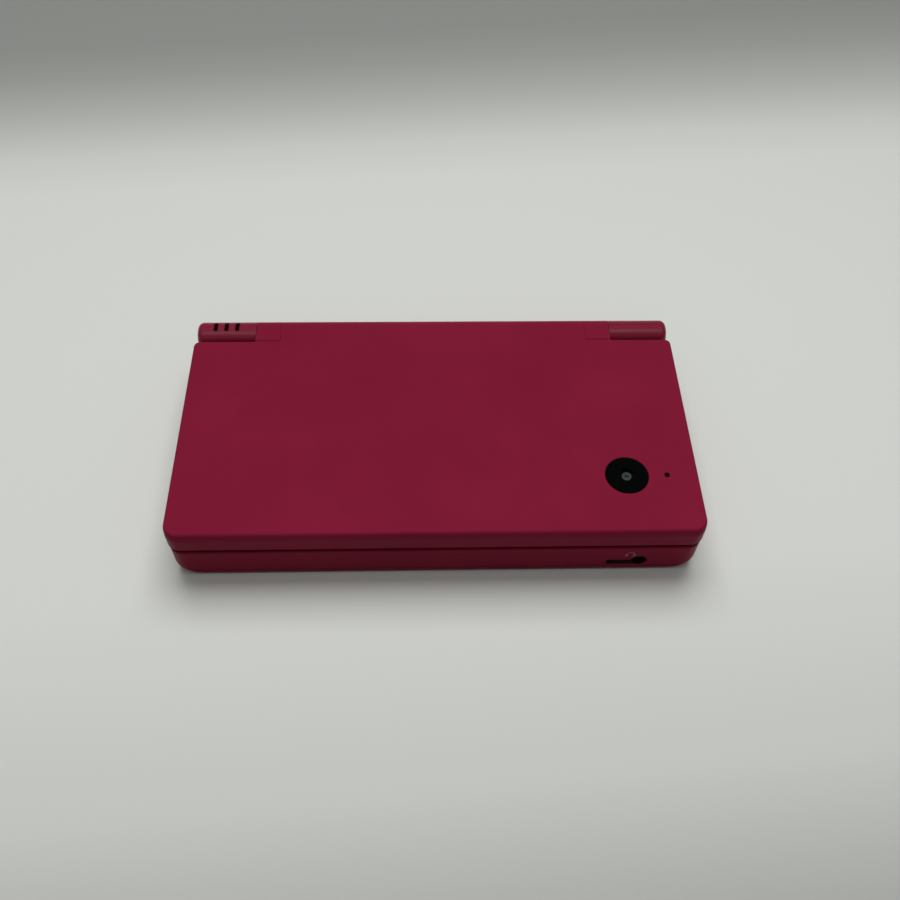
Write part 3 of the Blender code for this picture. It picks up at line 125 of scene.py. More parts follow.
def around(node, gap=0.0, rise=None, axis="Z"):
    """The sides of a node's box across an axis, moved out by one gap or by two."""
    rise = gap if rise is None else rise
    first, second = [i for i in range(3) if "XYZ"[i] != axis]
    low, high = box(node)
    return low[first] - gap, high[first] + gap, low[second] - rise, high[second] + rise


def nodes_named(*starts):
    return sorted(name for name in frame["nodes"] if name.startswith(starts))


print("the base reaches", [round(side, 1) for side in around("base_housing")])

# %% Outlines
corner_steps = 12
edge_steps = 6
round_steps = 48


def oval(centre, half_width, half_height, angles):
    """Points on an oval at some angles in degrees."""
    turns = [math.radians(angle) for angle in angles]
    return [(centre[0] + half_width * math.cos(turn), centre[1] + half_height * math.sin(turn))
            for turn in turns]


def arc(centre, radius, start, end, steps):
    """Points along an arc, both ends included."""
    angles = [start + (end - start) * i / steps for i in range(steps + 1)]
    return oval(centre, radius, radius, angles)


def rounded(x0, x1, y0, y1, front, back=None, steps=corner_steps):
    """A rectangle with round corners, anticlockwise, its back ones of another radius."""
    back = front if back is None else back
    return (arc((x0 + front, y0 + front), front, 180, 270, steps)
            + arc((x1 - front, y0 + front), front, 270, 360, steps)
            + arc((x1 - back, y1 - back), back, 0, 90, steps)
            + arc((x0 + back, y1 - back), back, 90, 180, steps))


def box_outline(a0, a1, b0, b1, radius):
    """A function that draws a round-cornered rectangle, grown by what it is given."""
    return lambda grow: rounded(a0 - grow, a1 + grow, b0 - grow, b1 + grow, radius + grow,
                                steps=5)


def round_outline(centre, radius):
    return lambda grow: arc(centre, radius + grow, 0, 360, round_steps)[:-1]


def level(outline, along, axis="Z"):
    """The points of an outline, set at one place along an axis."""
    slot = "XYZ".index(axis)
    return [(*point[:slot], along, *point[slot:]) for point in outline]


def ring_from(outline_at):
    """A function that sets an outline, drawn in by an inset, at a height."""
    return lambda inset, z: level(outline_at(-inset), z)


def round_edge(ring, radius, z, down=False, steps=edge_steps):
    """Rings round an edge: up to a flat top at z, or down to a flat rim at z."""
    side = 1 if down else -1
    rings = [ring(radius - across, z + side * (radius - along))
             for across, along in arc((0, 0), radius, 0, 90, steps)]
    return rings[::-1] if down else rings


def link(name, bm):
    """Turns a bmesh into an object whose faces point outwards."""
    bmesh.ops.recalc_face_normals(bm, faces=bm.faces)
    mesh = bpy.data.meshes.new(name)
    bm.to_mesh(mesh)
    bm.free()
    return add_object(name, mesh)


print(corner_steps, "steps to a corner,", round_steps, "to a circle")


# %% Solids from outlines
def loft(name, rings):
    """A closed solid through rings that all have the same number of points."""
    bm = bmesh.new()
    loops = [[bm.verts.new([place * mm for place in point]) for point in ring]
             for ring in rings]
    for lower, upper in zip(loops, loops[1:]):
        for i, corner in enumerate(lower):
            j = (i + 1) % len(lower)
            bm.faces.new((corner, lower[j], upper[j], upper[i]))
    bm.faces.new(reversed(loops[0]))
    bm.faces.new(loops[-1])
    return link(name, bm)


def stack(name, outline_at, stations, axis="Z"):
    """A loft through an outline grown by different amounts along an axis."""
    return loft(name, [level(outline_at(grow), along, axis) for grow, along in stations])


def prism(name, outline, axis, low, high):
    return loft(name, [level(outline, low, axis), level(outline, high, axis)])


def block(name, x0, x1, y0, y1, z0, z1, radius=0.0, axis="Z"):
    """A block, round along one axis if it has a radius."""
    spans = [(x0, x1), (y0, y1), (z0, z1)]
    low, high = spans.pop("XYZ".index(axis))
    (a0, a1), (b0, b1) = spans
    corners = [(a0, b0), (a1, b0), (a1, b1), (a0, b1)]
    return prism(name, rounded(a0, a1, b0, b1, radius) if radius else corners, axis, low, high)


def turned(name, axis, centre, profile, steps=round_steps):
    """A round solid from pairs of radius and place along the axis."""
    return loft(name, [level(arc(centre, radius, 0, 360, steps)[:-1], along, axis)
                       for radius, along in profile])


def rod(name, axis, centre, radius, low, high, steps=round_steps):
    return turned(name, axis, centre, [(radius, low), (radius, high)], steps)


def rods_at(start, radius, low, high, steps=round_steps):
    """Upright rods at all the nodes whose names start alike."""
    return [rod(start + " rod", "Z", middle(name).xy, radius, low, high, steps)
            for name in nodes_named(start)]


def evaluated(holder):
    """The mesh that an object's modifiers or its text make; the modifiers are used up."""
    graph = bpy.context.evaluated_depsgraph_get()
    mesh = bpy.data.meshes.new_from_object(holder.evaluated_get(graph))
    holder.modifiers.clear()
    return mesh


def combine(operation, piece, tools):
    """Exact Booleans, one tool after another; each tool is used up."""
    for tool in tools:
        modifier = piece.modifiers.new(operation, "BOOLEAN")
        modifier.operation, modifier.solver, modifier.object = operation, "EXACT", tool
        piece.data = evaluated(piece)
        bpy.data.objects.remove(tool)
    return piece


def cut(piece, *tools):
    return combine("DIFFERENCE", piece, tools)


def join(piece, *tools):
    return combine("UNION", piece, tools)


print("helpers ready for lofts, blocks, turned solids, cuts and joins")

# %% [markdown]
# ## Finishes
# Every finish is one Principled BSDF fed by procedural noise in object space. A broad noise
# moves the colour a little, as moulded and handled plastic has it, a finer one moves the
# roughness, and the finest gives the tiny relief of the mould as a bump.

# %% A helper for finishes
def new_finish(name, roughness, metallic=0.0, coat=0.0, sheen=0.0, specular=0.5):
    material = bpy.data.materials.new(name)
    material.use_nodes = True
    shader = material.node_tree.nodes["Principled BSDF"]
    values = {"Roughness": roughness, "Metallic": metallic, "Coat Weight": coat,
              "Sheen Weight": sheen, "Specular IOR Level": specular}
    for socket, value in values.items():
        shader.inputs[socket].default_value = value
    return material, material.node_tree, shader


def add_node(tree, kind, values=None, **feeds):
    """A shader node with values on its sockets and outputs of other nodes fed in."""
    node = tree.nodes.new("ShaderNode" + kind)
    for socket, value in (values or {}).items():
        node.inputs[socket].default_value = value
    for socket, source in feeds.items():
        tree.links.new(source, node.inputs[socket])
    return node


def place_axes(tree):
    """The place on the object, split into X, Y and Z."""
    place = add_node(tree, "TexCoord").outputs["Object"]
    return add_node(tree, "SeparateXYZ", Vector=place).outputs


def noise(tree, scale, detail=3.0, stretch=None):
    """Noise in object space, its scale in features per metre."""
    place = add_node(tree, "TexCoord").outputs["Object"]
    if stretch:
        place = add_node(tree, "Mapping", {"Scale": stretch}, Vector=place).outputs["Vector"]
    values = {"Scale": scale, "Detail": detail}
    return add_node(tree, "TexNoise", values, Vector=place).outputs["Fac"]


def spread(tree, value, low, high, start=0.3, end=0.7):
    """Maps the middle of a noise onto a range."""
    limits = {"From Min": start, "From Max": end, "To Min": low, "To Max": high}
    return add_node(tree, "MapRange", limits, Value=value).outputs["Result"]


def between(tree, factor, first, second):
    """Mixes two colours by a factor."""
    node = tree.nodes.new("ShaderNodeMix")
    node.data_type = "RGBA"
    colours = {"A_Color": first, "B_Color": second}
    for socket in node.inputs:
        if socket.identifier in colours:
            socket.default_value = (*colours[socket.identifier], 1)
    tree.links.new(factor, node.inputs["Factor"])
    return next(s for s in node.outputs if s.identifier == "Result_Color")


def relief(tree, shader, height, depth, strength=1.0):
    """Bump of a depth from a height between 0 and 1."""
    bump = add_node(tree, "Bump", {"Strength": strength, "Distance": depth * mm}, Height=height)
    tree.links.new(bump.outputs["Normal"], shader.inputs["Normal"])


def tint(colour, share):
    return tuple(channel * share for channel in colour)


def moulded(name, colour, roughness, grain=3500, depth=0.004, patch=45, vary=0.05,
            **shader_values):
    """Plastic or rubber as it comes from a spark-eroded mould."""
    material, tree, shader = new_finish(name, roughness, **shader_values)
    tone = spread(tree, noise(tree, patch), 0.0, 1.0)
    shades = between(tree, tone, tint(colour, 1 - vary), tint(colour, 1 + vary))
    wear = spread(tree, noise(tree, 6 * patch), roughness * 0.92, roughness * 1.08)
    tree.links.new(shades, shader.inputs["Base Color"])
    tree.links.new(wear, shader.inputs["Roughness"])
    relief(tree, shader, noise(tree, grain, 2.0), depth)
    return material


print("helpers ready for finishes with colour, roughness and relief")

# %% [markdown]
# ### The pink casing
# The casing is coloured through and left matte. Its light side is a muted raspberry, and its
# edges look deeper and redder, because a matte surface seen at a slant returns less white
# haze there. The colour is therefore written a little deeper than the top looks. Hands rub
# the two hinge barrels smoother than the rest of the base, so the finish shines more above
# the deck.

# %% Casing finishes
pink = (0.197, 0.0103, 0.0335)
deep_pink = (0.190, 0.0078, 0.0280)
matte_shine, rubbed_shine = 0.03, 0.42
shine_from, shine_to = 11.4, 12.4

lid_finish = moulded("lid plastic", pink, 0.32, specular=matte_shine)
base_finish = moulded("base plastic", deep_pink, 0.32, specular=matte_shine)
tree = base_finish.node_tree
shine = spread(tree, place_axes(tree)["Z"], matte_shine, rubbed_shine, shine_from * mm,
               shine_to * mm)
tree.links.new(shine, tree.nodes["Principled BSDF"].inputs["Specular IOR Level"])
inner_finish = moulded("inner frame plastic", tint(pink, 0.95), 0.52, grain=2600, depth=0.008,
                       specular=0.06)
key_finish = moulded("key plastic", tint(pink, 1.12), 0.30, depth=0.002, specular=0.12)
print("casing finishes:", lid_finish.name, base_finish.name, inner_finish.name)

# %% [markdown]
# ### The other finishes
# The camera disc and the two windows are black glass. Screws, springs and connector shells
# are steel, whose brushing is noise stretched along one axis. Rubber is rough and takes a
# little sheen. The circuit board has a green solder mask with fine lines under it.

# %% Glass, rubber and dark plastics
glass_finish = moulded("black glass", (0.0018, 0.0024, 0.0021), 0.12, grain=900, depth=0.0004,
                       vary=0.2, specular=0.25)
disc_finish = moulded("camera disc glass", (0.0004, 0.0013, 0.0009), 0.12, grain=900,
                      depth=0.0004, vary=0.2, specular=0.1)
lens_finish = moulded("lens glass", (0.012, 0.014, 0.016), 0.08, grain=700, depth=0.0004,
                      vary=0.2, coat=0.6)
screen_finish = moulded("display face", (0.020, 0.022, 0.024), 0.22, grain=9000, depth=0.0006,
                        vary=0.1)
rubber_finish = moulded("soft rubber", (0.035, 0.034, 0.036), 0.78, grain=5000, depth=0.006,
                        vary=0.12, sheen=0.15)
foot_finish = moulded("foot rubber", tint(pink, 0.55), 0.74, grain=5000, depth=0.006, vary=0.1,
                      sheen=0.1)
dark_finish = moulded("dark nylon", (0.030, 0.030, 0.032), 0.5, grain=4200, vary=0.1)
# Clear light guides and the camera light's lens, written almost black: painted shade for the dark
# behind them
clear_part_painted_shade = moulded("light guide", (0.0050, 0.0012, 0.0020), 0.5, depth=0.001, vary=0.1,
                      specular=0.02)
mark_finish = moulded("printed mark", (0.30, 0.25, 0.25), 0.5, depth=0.001, vary=0.08)
front_mark_finish = moulded("front printed mark", (0.20, 0.07, 0.09), 0.5, depth=0.001,
                            vary=0.08)
wrap_finish = moulded("battery wrap", (0.11, 0.11, 0.12), 0.42, grain=1500, depth=0.006,
                      vary=0.1)
film_finish = moulded("cable film", (0.32, 0.16, 0.03), 0.35, grain=2500, vary=0.12, coat=0.2)


# %% Metal and the circuit board
def brushed(name, colour, roughness, stretch):
    """Metal with faint lines across the stretch."""
    material, tree, shader = new_finish(name, roughness, metallic=1.0)
    lines = noise(tree, 900, 4.0, stretch)
    shades = between(tree, spread(tree, lines, 0, 1), tint(colour, 0.88), tint(colour, 1.08))
    wear = spread(tree, lines, roughness * 0.8, roughness * 1.25)
    tree.links.new(shades, shader.inputs["Base Color"])
    tree.links.new(wear, shader.inputs["Roughness"])
    relief(tree, shader, noise(tree, 5000, 2.0, stretch), 0.0015)
    return material


def solder_mask(name):
    """Green lacquer whose traces are the edges of stretched cells."""
    material, tree, shader = new_finish(name, 0.38)
    place = add_node(tree, "TexCoord").outputs["Object"]
    pattern = {"Scale": 240, "Mortar Size": 0.035, "Color1": (0.006, 0.045, 0.022, 1),
               "Color2": (0.010, 0.060, 0.030, 1), "Mortar": (0.030, 0.110, 0.050, 1)}
    cells = add_node(tree, "TexBrick", pattern, Vector=place)
    tree.links.new(cells.outputs["Color"], shader.inputs["Base Color"])
    relief(tree, shader, cells.outputs["Fac"], 0.02, 0.6)
    return material


steel_finish = brushed("bright steel", (0.58, 0.57, 0.55), 0.28, (1, 1, 0.1))
screw_finish = brushed("dark screw steel", (0.17, 0.165, 0.16), 0.38, (1, 1, 0.3))
board_finish = solder_mask("circuit board")
print("finishes made:", len(bpy.data.materials))

# %% [markdown]
# ### Dressing the CAD nodes
# Every CAD node keeps its mesh and gets a finish by its material slot in the record, also
# the parts inside the casing that a camera sees only through an opening. A node that a new
# piece replaces below is hidden again then.

# %% Finish of each material slot
slot_finishes = {
    "lid_casing": lid_finish, "base_casing": base_finish, "inner_casing": inner_finish,
    "key_plastic": key_finish, "black_window": glass_finish, "display": screen_finish,
    "camera_glass": glass_finish, "dark_module": dark_finish,
    "circuit_board": board_finish, "metal": steel_finish, "battery_wrap": wrap_finish,
    "soft_rubber": rubber_finish, "light_pipe": clear_part_painted_shade, "flex": film_finish,
}
node_slot = {entry["node"]: entry["material_slot"] for entry in frame["record"]["subparts"]}
for node, carried in frame["nodes"].items():
    carried.data.materials.clear()
    carried.data.materials.append(slot_finishes[node_slot[node]])
print("dressed", len(frame["nodes"]), "nodes in", len(set(node_slot.values())), "slots")

# %% [markdown]
# ### Finishing a new piece
# A loft or a Boolean leaves an edge between a wide flat face and a narrow round one. Smooth
# shading would tilt the light over the whole flat face there, so Weighted Normal lets the
# widest face set the direction at each corner. The piece is then tied to its body. It stands
# for the nodes it is given, unless a slot says that it is only added to them.

# %% A helper that finishes a piece
touching = 0.0005 * mm


def finish(piece, material, *nodes, slot=None, angle=32):
    """Shades a piece, gives it its finish and lets it ride where its first node rides."""
    bm = bmesh.new()
    bm.from_mesh(piece.data)
    bmesh.ops.remove_doubles(bm, verts=bm.verts, dist=touching)
    bmesh.ops.dissolve_degenerate(bm, edges=bm.edges, dist=touching)
    bm.to_mesh(piece.data)
    bm.free()
    piece.data.materials.clear()
    piece.data.materials.append(material)
    piece.data.shade_smooth()
    piece.data.set_sharp_from_angle(angle=math.radians(angle))
    weighted = piece.modifiers.new("weighted", "WEIGHTED_NORMAL")
    weighted.keep_sharp = True
    piece.data = evaluated(piece)
    piece.data.name = piece.name
    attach(piece, frame["nodes"][nodes[0]]["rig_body"])
    slot or node_slot[nodes[0]]
    if not slot:
        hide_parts(*nodes)
    faces = len(piece.data.polygons)
    print(piece.name, "has", faces, "faces and rides on", piece["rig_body"])


# %% [markdown]
# ## Floor and light
# The floor is one pale sheet that curves up behind the object, so there is no horizon. A
# strip of points is drawn from the side, straight first and then along an arc, and widened.
# Its colour is painted shade: it runs through a few stops from front to back, greyer far
# back and close to the lens, and a little askew, where the lamps' light falls off. One big
# soft lamp hangs above and behind: it lights the lid and leaves the front walls in shade. A
# narrow one on the ceiling gives the hinge barrels their highlight, and a faint one in front
# lifts the walls a little.

# %% Floor sweep
floor_half_width = 900
floor_front = -700
sweep_start, sweep_radius, sweep_top = 165, 210, 240
floor_white = (0.661, 0.676, 0.642)
shade_from, shade_to = -140, 320
# Painted shade: the share of the floor's white at each depth in mm, darker far back and near the
# lens
painted_floor_shade = ((-130, 0.61), (-95, 0.87), (-40, 1.0), (125, 1.06), (145, 0.975),
                (172, 0.72), (195, 0.55), (212, 0.485), (300, 0.50))
shade_tilt = -0.08

profile = [(floor_front, 0), *arc((sweep_start, sweep_radius), sweep_radius, -90, 0, 32),
           (sweep_start + sweep_radius, sweep_radius + sweep_top)]
bm = bmesh.new()
rows = [[bm.verts.new((side * floor_half_width * mm, y * mm, z * mm)) for y, z in profile]
        for side in (-1, 1)]
for i in range(len(profile) - 1):
    bm.faces.new((rows[0][i], rows[1][i], rows[1][i + 1], rows[0][i + 1]))
floor = link("floor", bm)
floor.data.shade_smooth()
if floor.data.polygons[0].normal.z < 0:
    floor.data.flip_normals()
print("floor curves up from", sweep_start, "mm behind the middle")

# %% Floor paper
# The colour ramp below is painted shade on the pale paper, tilted a little across X
floor_material, tree, shader = new_finish("floor paper", 0.62, specular=0.2)
axes = place_axes(tree)
askew = tree.nodes.new("ShaderNodeMath")
askew.operation = "MULTIPLY_ADD"
askew.inputs[1].default_value = shade_tilt
tree.links.new(axes["X"], askew.inputs[0])
tree.links.new(axes["Y"], askew.inputs[2])
depth = spread(tree, askew.outputs["Value"], 0, 1, shade_from * mm, shade_to * mm)
shade = add_node(tree, "ValToRGB", Fac=depth)
stops = shade.color_ramp.elements
stops.remove(stops[1])
for y, share in painted_floor_shade:
    stop = stops.new((y - shade_from) / (shade_to - shade_from))
    stop.color = (*tint(floor_white, share), 1)
stops.remove(stops[0])
tree.links.new(shade.outputs["Color"], shader.inputs["Base Color"])
relief(tree, shader, noise(tree, 700), 0.01, 0.3)
floor.data.materials.append(floor_material)
print("floor paper has", len(stops), "shades")


# %% Lamps and world
def lamp(name, place, width, depth, power, mirrored=True):
    """A soft rectangle of light aimed at the middle of the floor, sizes in metres."""
    light = bpy.data.lights.new(name, "AREA")
    light.shape, light.size, light.size_y, light.energy = "RECTANGLE", width, depth, power
    holder = add_object(name, light)
    aim = (-Vector(place)).to_track_quat("-Z", "Y").to_matrix().to_4x4()
    holder.matrix_world = Matrix.Translation(place) @ aim
    holder.visible_glossy = mirrored


lamp("window behind", (0.02, 0.46, 1.0), 0.9, 0.75, 11.6, mirrored=False)
lamp("ceiling lamp", (0.03, -0.2, 1.1), 0.9, 0.36, 1.5)
lamp("front fill", (-0.15, -0.8, 0.75), 0.8, 0.5, 0.56, mirrored=False)
room_light = 0.125
world = bpy.data.worlds.new("room")
bpy.context.scene.world = world
world.use_nodes = True
world.node_tree.nodes["Background"].inputs["Color"].default_value = (1, 1, 1, 1)
world.node_tree.nodes["Background"].inputs["Strength"].default_value = room_light
bpy.context.scene.view_settings.view_transform = "Standard"
print("lamps placed:", len(bpy.data.lights))

# %% [markdown]
# ## The lid's outer shell
# The lid is a shallow tray upside down: flat on top, straight at the sides, and round at its
# top edge and its rim. Its front wall leans back a little near the top. Rings of its outline
# give the outside. Its rear middle wraps the hinge, so a bar with a round back is joined on.
# The inside is cut out last.

# %% Lid sizes
lid_low, lid_high = box("lid_outer_shell")
cap_low, cap_high = box("hinge_cap_right")
hinge = middle("hinge_clutch").yz
hinge_y, hinge_z = hinge
barrel_radius = lid_high.z - hinge_z
panel_gap = 0.2
overrun = 0.5
lid_rear = cap_low.y - panel_gap
lid_rim = box("lid_inner_bezel")[0].z - 0.6
lid_front_corner, lid_rear_corner, least_corner = 3.6, 1.6, 0.2
lid_top_round, lid_rim_round = 0.6, 0.8
lean_height, lean_depth, lean_bow, lean_steps = 2.4, 0.75, 1.6, 6
lid_wall = 1.3
roof_low = lid_high.z - 1.2
tongue_half = cap_low.x - panel_gap
bore_radius = 2.8
strip_depth, tongue_depth = 3, 2.2
under_roof = roof_low - 0.3
print("hinge axis at y", round(hinge_y, 2), "z", round(hinge_z, 2))


# %% Lid shell
def lid_ring(inset, z, lean=0.0):
    """The lid's outline, drawn in by an inset and further in front by a lean."""
    front, back = (max(corner - inset, least_corner)
                   for corner in (lid_front_corner, lid_rear_corner))
    return level(rounded(lid_low.x + inset, lid_high.x - inset, lid_low.y + inset + lean,
                         lid_rear - inset, front, back), z)


def leaning_ring(inset, z):
    """The outside of the lid, whose front wall leans back near its top."""
    rise = max(0.0, 1 - (lid_high.z - z) / lean_height)
    return lid_ring(inset, z, lean_depth * rise ** lean_bow)


def barrel_section(front_y, inset=0.0):
    """Side view of the lid's back where it wraps the hinge, drawn in by an inset."""
    radius, rim = barrel_radius - inset, lid_rim + inset
    under = math.degrees(math.asin((hinge_z - rim) / radius))
    return ([(front_y + inset, rim), (front_y + inset, hinge_z + radius)]
            + arc(hinge, radius, 90, under - 180, 40))


wall_heights = [lid_high.z - lean_height + (lean_height - lid_top_round) * i / lean_steps
                for i in range(lean_steps)]
lid = loft("lid_shell", round_edge(lid_ring, lid_rim_round, lid_rim, down=True)
           + [leaning_ring(0.0, z) for z in wall_heights]
           + round_edge(leaning_ring, lid_top_round, lid_high.z))
join(lid, block("rear strip", -cap_high.x - panel_gap, cap_high.x + panel_gap,
                lid_rear - strip_depth, lid_rear, hinge_z, lid_high.z),
     prism("tongue", barrel_section(lid_rear - tongue_depth), "X", -tongue_half, tongue_half))
print("lid block has", len(lid.data.polygons), "faces")

# %% Lid openings
disc_low, disc_high = box("outer_camera_cover")
disc = middle("outer_camera_cover").xy
disc_radius = (disc_high.x - disc_low.x) / 2
eye_radius = 2.1
light = middle("camera_light").xy
light_radius = 0.62
inner_lens = middle("inner_camera").xy
cable = box("lid_display_cable")[0].x + 0.6
cable_half, lens_bore, sound_bore, hole_reach = 1.5, 1.5, 0.5, 5


def flared_hole(name, centre, radius, low, high, flare):
    """A cutter for a round hole whose upper edge is broken by a small flare."""
    return turned(name, "Z", centre, [(radius, low), (radius, high - flare),
                                      (radius + flare, high), (radius + flare, high + overrun)])


cut(lid, loft("inside", [lid_ring(lid_wall, lid_rim - overrun), lid_ring(lid_wall, roof_low)]),
    rod("bore", "X", hinge, bore_radius, -tongue_half - overrun, tongue_half + overrun),
    block("cable slot", cable - cable_half, cable + cable_half, lid_rear - strip_depth,
          hinge_y, hinge_z - cable_half, hinge_z + cable_half),
    flared_hole("pocket", disc, disc_radius + 0.12, disc_low.z - 0.3, lid_high.z, 0.12),
    rod("lens hole", "Z", disc, eye_radius, roof_low - overrun, lid_high.z),
    flared_hole("light hole", light, light_radius + 0.1, roof_low - overrun, lid_high.z, 0.08),
    rod("inner lens hole", "Z", inner_lens, lens_bore, hinge_z - hole_reach, hinge_z),
    rod("sound hole", "Z", (middle("microphone").x, hinge_y), sound_bore, hinge_z - hole_reach,
        hinge_z, 20))
finish(lid, lid_finish, "lid_outer_shell")

# %% [markdown]
# ## Hinge caps
# At each end of the wrapped back sits a short cap of the same section, a separate moulding
# that closes the hinge. Only a hair line shows between it and the lid. Its ends are a
# little smaller than its middle, which breaks the edge and makes the line visible.

# %% Hinge caps
edge_break = 0.08
cap_grow = 0.14


def cap_section(grow):
    return barrel_section(cap_low.y, -grow)


for side, word in ((-1, "left"), (1, "right")):
    x0, x1 = sorted((side * (cap_low.x - cap_grow), side * (cap_high.x + cap_grow)))
    cap = stack("hinge_cap_" + word + "_cover", cap_section,
                ((-edge_break, x0), (0, x0 + edge_break), (0, x1 - edge_break), (-edge_break, x1)),
                "X")
    cut(cap, rod("cap bore", "X", hinge, bore_radius, x0 - overrun, x1 + overrun))
    finish(cap, lid_finish, "hinge_cap_" + word)

# %% [markdown]
# ## The camera disc
# The camera sits behind a black disc, flush with the lid. Its lens is a small grey window
# lower down, in the middle of a black barrel, so it looks a little nearer to the front edge
# than the disc's own middle. Disc, barrel, window and lens are turned from profiles of
# radius and height.

# %% Camera disc
disc_edge = 0.15
glass = turned("camera_disc_glass", "Z", disc, [
    (eye_radius, disc_low.z), (disc_radius - disc_edge, disc_low.z),
    (disc_radius, disc_low.z + disc_edge), (disc_radius, lid_high.z - disc_edge),
    (disc_radius - 0.04, lid_high.z - 0.04), (disc_radius - disc_edge, lid_high.z),
    (eye_radius + 0.08, lid_high.z), (eye_radius, lid_high.z - 0.08)], 96)
cut(glass, rod("eye", "Z", disc, eye_radius, disc_low.z - overrun, lid_high.z + overrun, 64))
finish(glass, disc_finish, "outer_camera_cover", angle=25)

# %% Camera barrel, window and lens
lens_radius, bead_radius, bead_height = 1.3, 0.55, 0.08
barrel_top = disc_low.z + 0.02
window_seat = barrel_top - 0.06
grey_eye = moulded("lens window", (0.046, 0.058, 0.056), 0.35, depth=0.001, vary=0.25,
                   patch=900, specular=0.02)
module_low = box("outer_camera_module")[0]
module = block("camera_module_body", *around("outer_camera_module"), module_low.z,
               under_roof, 0.6)
join(module, turned("barrel", "Z", disc, [
    (eye_radius - 0.1, roof_low - 1), (eye_radius - 0.1, barrel_top),
    (lens_radius + 0.05, barrel_top), (lens_radius, window_seat), (0.2, window_seat)], 64))
finish(module, disc_finish, "outer_camera_module")
window = turned("camera_eye", "Z", disc, [
    (lens_radius - 0.02, window_seat), (lens_radius - 0.02, barrel_top - 0.02),
    (lens_radius - 0.12, barrel_top), (0.2, barrel_top)], 64)
finish(window, grey_eye, "outer_camera_module", slot="camera_glass")
lens = turned("camera_lens", "Z", disc, [
    (bead_radius, barrel_top),
    *oval((0, barrel_top), bead_radius, bead_height, (10, 30, 50, 70, 88))], 32)
finish(lens, lens_finish, "outer_camera_module", slot="camera_glass")

# %% Camera light
# The clear lens takes the near-black colour: painted shade for the dark cavity behind it
lamp_dot = turned("camera_light_lens", "Z", light, [
    (1.2, roof_low - 1.2), (1.2, under_roof), (light_radius, under_roof),
    (light_radius, lid_high.z - 0.16), (light_radius - 0.1, lid_high.z - 0.11),
    (light_radius - 0.45, lid_high.z - 0.1)], 32)
finish(lamp_dot, clear_part_painted_shade, "camera_light")

# %% [markdown]
# ## The base housing
# The base is a deeper tray than the lid, with the deck on top and a wall that curves in
# towards the table. Its corners are rounder than the lid's. Two barrels at its back carry
# the hinge. Everything that a hand or a plug reaches goes through it: keys, d-pad, touch
# screen, sockets, slots and the stylus. Each opening is cut with a slightly flared tool, so
# its edge is broken as a moulded edge is.

# %% Base sizes
base_low, base_high = box("base_housing")
floor_low = box("base_bottom_cover")[0].z
deck_top = lid_rim - 0.9
deck_low = deck_top - 1.3
parting = base_low.z
base_front_corner, base_rear_corner, least_base_corner = 4.2, 2.0, 0.25
deck_round = 0.5
curve_height, curve_depth = 4.1, 3.2
front_share, corner_growth = 0.12, 0.45
curve_top = floor_low + curve_height
base_wall = 1.3
knuckle_inner = cap_high.x + 0.22
knuckle_outer = base_high.x - 0.1
knuckle_round, knuckle_break = 1.6, 0.08
print("deck at", round(deck_top, 2), "mm, curve below", round(curve_top, 2), "mm")


# %% Base outline
def base_ring(inset, z, front_inset=None, grow=0.0):
    """The base's outline, drawn in by an inset that may be smaller at the front."""
    front_inset = inset if front_inset is None else front_inset
    front, back = (max(corner - inset, least_base_corner)
                   for corner in (base_front_corner, base_rear_corner))
    return level(rounded(base_low.x + inset, base_high.x - inset, base_low.y + front_inset,
                         base_high.y - inset, front + grow, back), z)


def curved_ring(z):
    """The outline where the wall curves in towards the table."""
    drop = min(max((curve_top - z) / curve_height, 0.0), 1.0)
    inset = curve_depth * (1 - math.sqrt(1 - drop * drop))
    return base_ring(inset, z, inset * front_share, inset * (1 + corner_growth))


def curve_rings(low, high, steps):
    """Rings up the curve, closer together where it turns faster."""
    start, end = (math.asin(min((curve_top - z) / curve_height, 1.0)) for z in (low, high))
    return [curved_ring(curve_top - curve_height * math.sin(start + (end - start) * i / steps))
            for i in range(steps + 1)]


def knuckle_section(grow):
    """A hinge barrel's section with straight sides down into the deck."""
    radius, foot = barrel_radius + grow, deck_top - 0.3
    return arc(hinge, radius, 0, 180, 40) + [(hinge_y - radius, foot), (hinge_y + radius, foot)]


def knuckle(side):
    round_end = arc((-knuckle_round, knuckle_outer - knuckle_round), knuckle_round, 0, 90, 8)
    stations = [(-knuckle_break, knuckle_inner), (0, knuckle_inner + knuckle_break), *round_end]
    return stack("knuckle", knuckle_section, [(grow, side * x) for grow, x in stations], "X")


# %% Base housing: the tray and its barrels
housing = loft("base_shell", curve_rings(parting, curve_top, 8)
               + round_edge(base_ring, deck_round, deck_top))
cut(housing, loft("inside", [base_ring(base_wall, parting - overrun),
                             base_ring(base_wall, deck_low)]))
boss_radius, boss_foot = 1.8, 6.4
bosses = rods_at("case_screw", boss_radius, boss_foot, deck_low + overrun, 24)
join(housing, knuckle(-1), knuckle(1), *bosses)
cut(housing, rod("trough", "X", hinge, barrel_radius + 0.3, -knuckle_inner, knuckle_inner, 80))
print("tray with", len(bosses), "screw bosses")

# %% Base housing: the deck's openings
figure_keys = ("button_right", "button_lower", "button_upper", "button_left")
key_radius = {**dict.fromkeys(figure_keys, 3.5), "start_button": 2.1, "select_button": 2.1,
              "power_button": 2.3}
key_gap, dpad_gap, touch_gap = 0.3, 0.45, 0.2
dpad = middle("dpad").xy
dpad_half, dpad_arm, dpad_tip, dpad_inner = 9.5, 3.4, 0.8, 0.35


def deck_hole(name, outline_at, flare=0.15):
    """A cutter through the deck, flared at its upper face."""
    return stack(name, outline_at, ((0, deck_low - overrun), (0, deck_top - flare),
                                    (flare, deck_top), (flare, deck_top + overrun)))


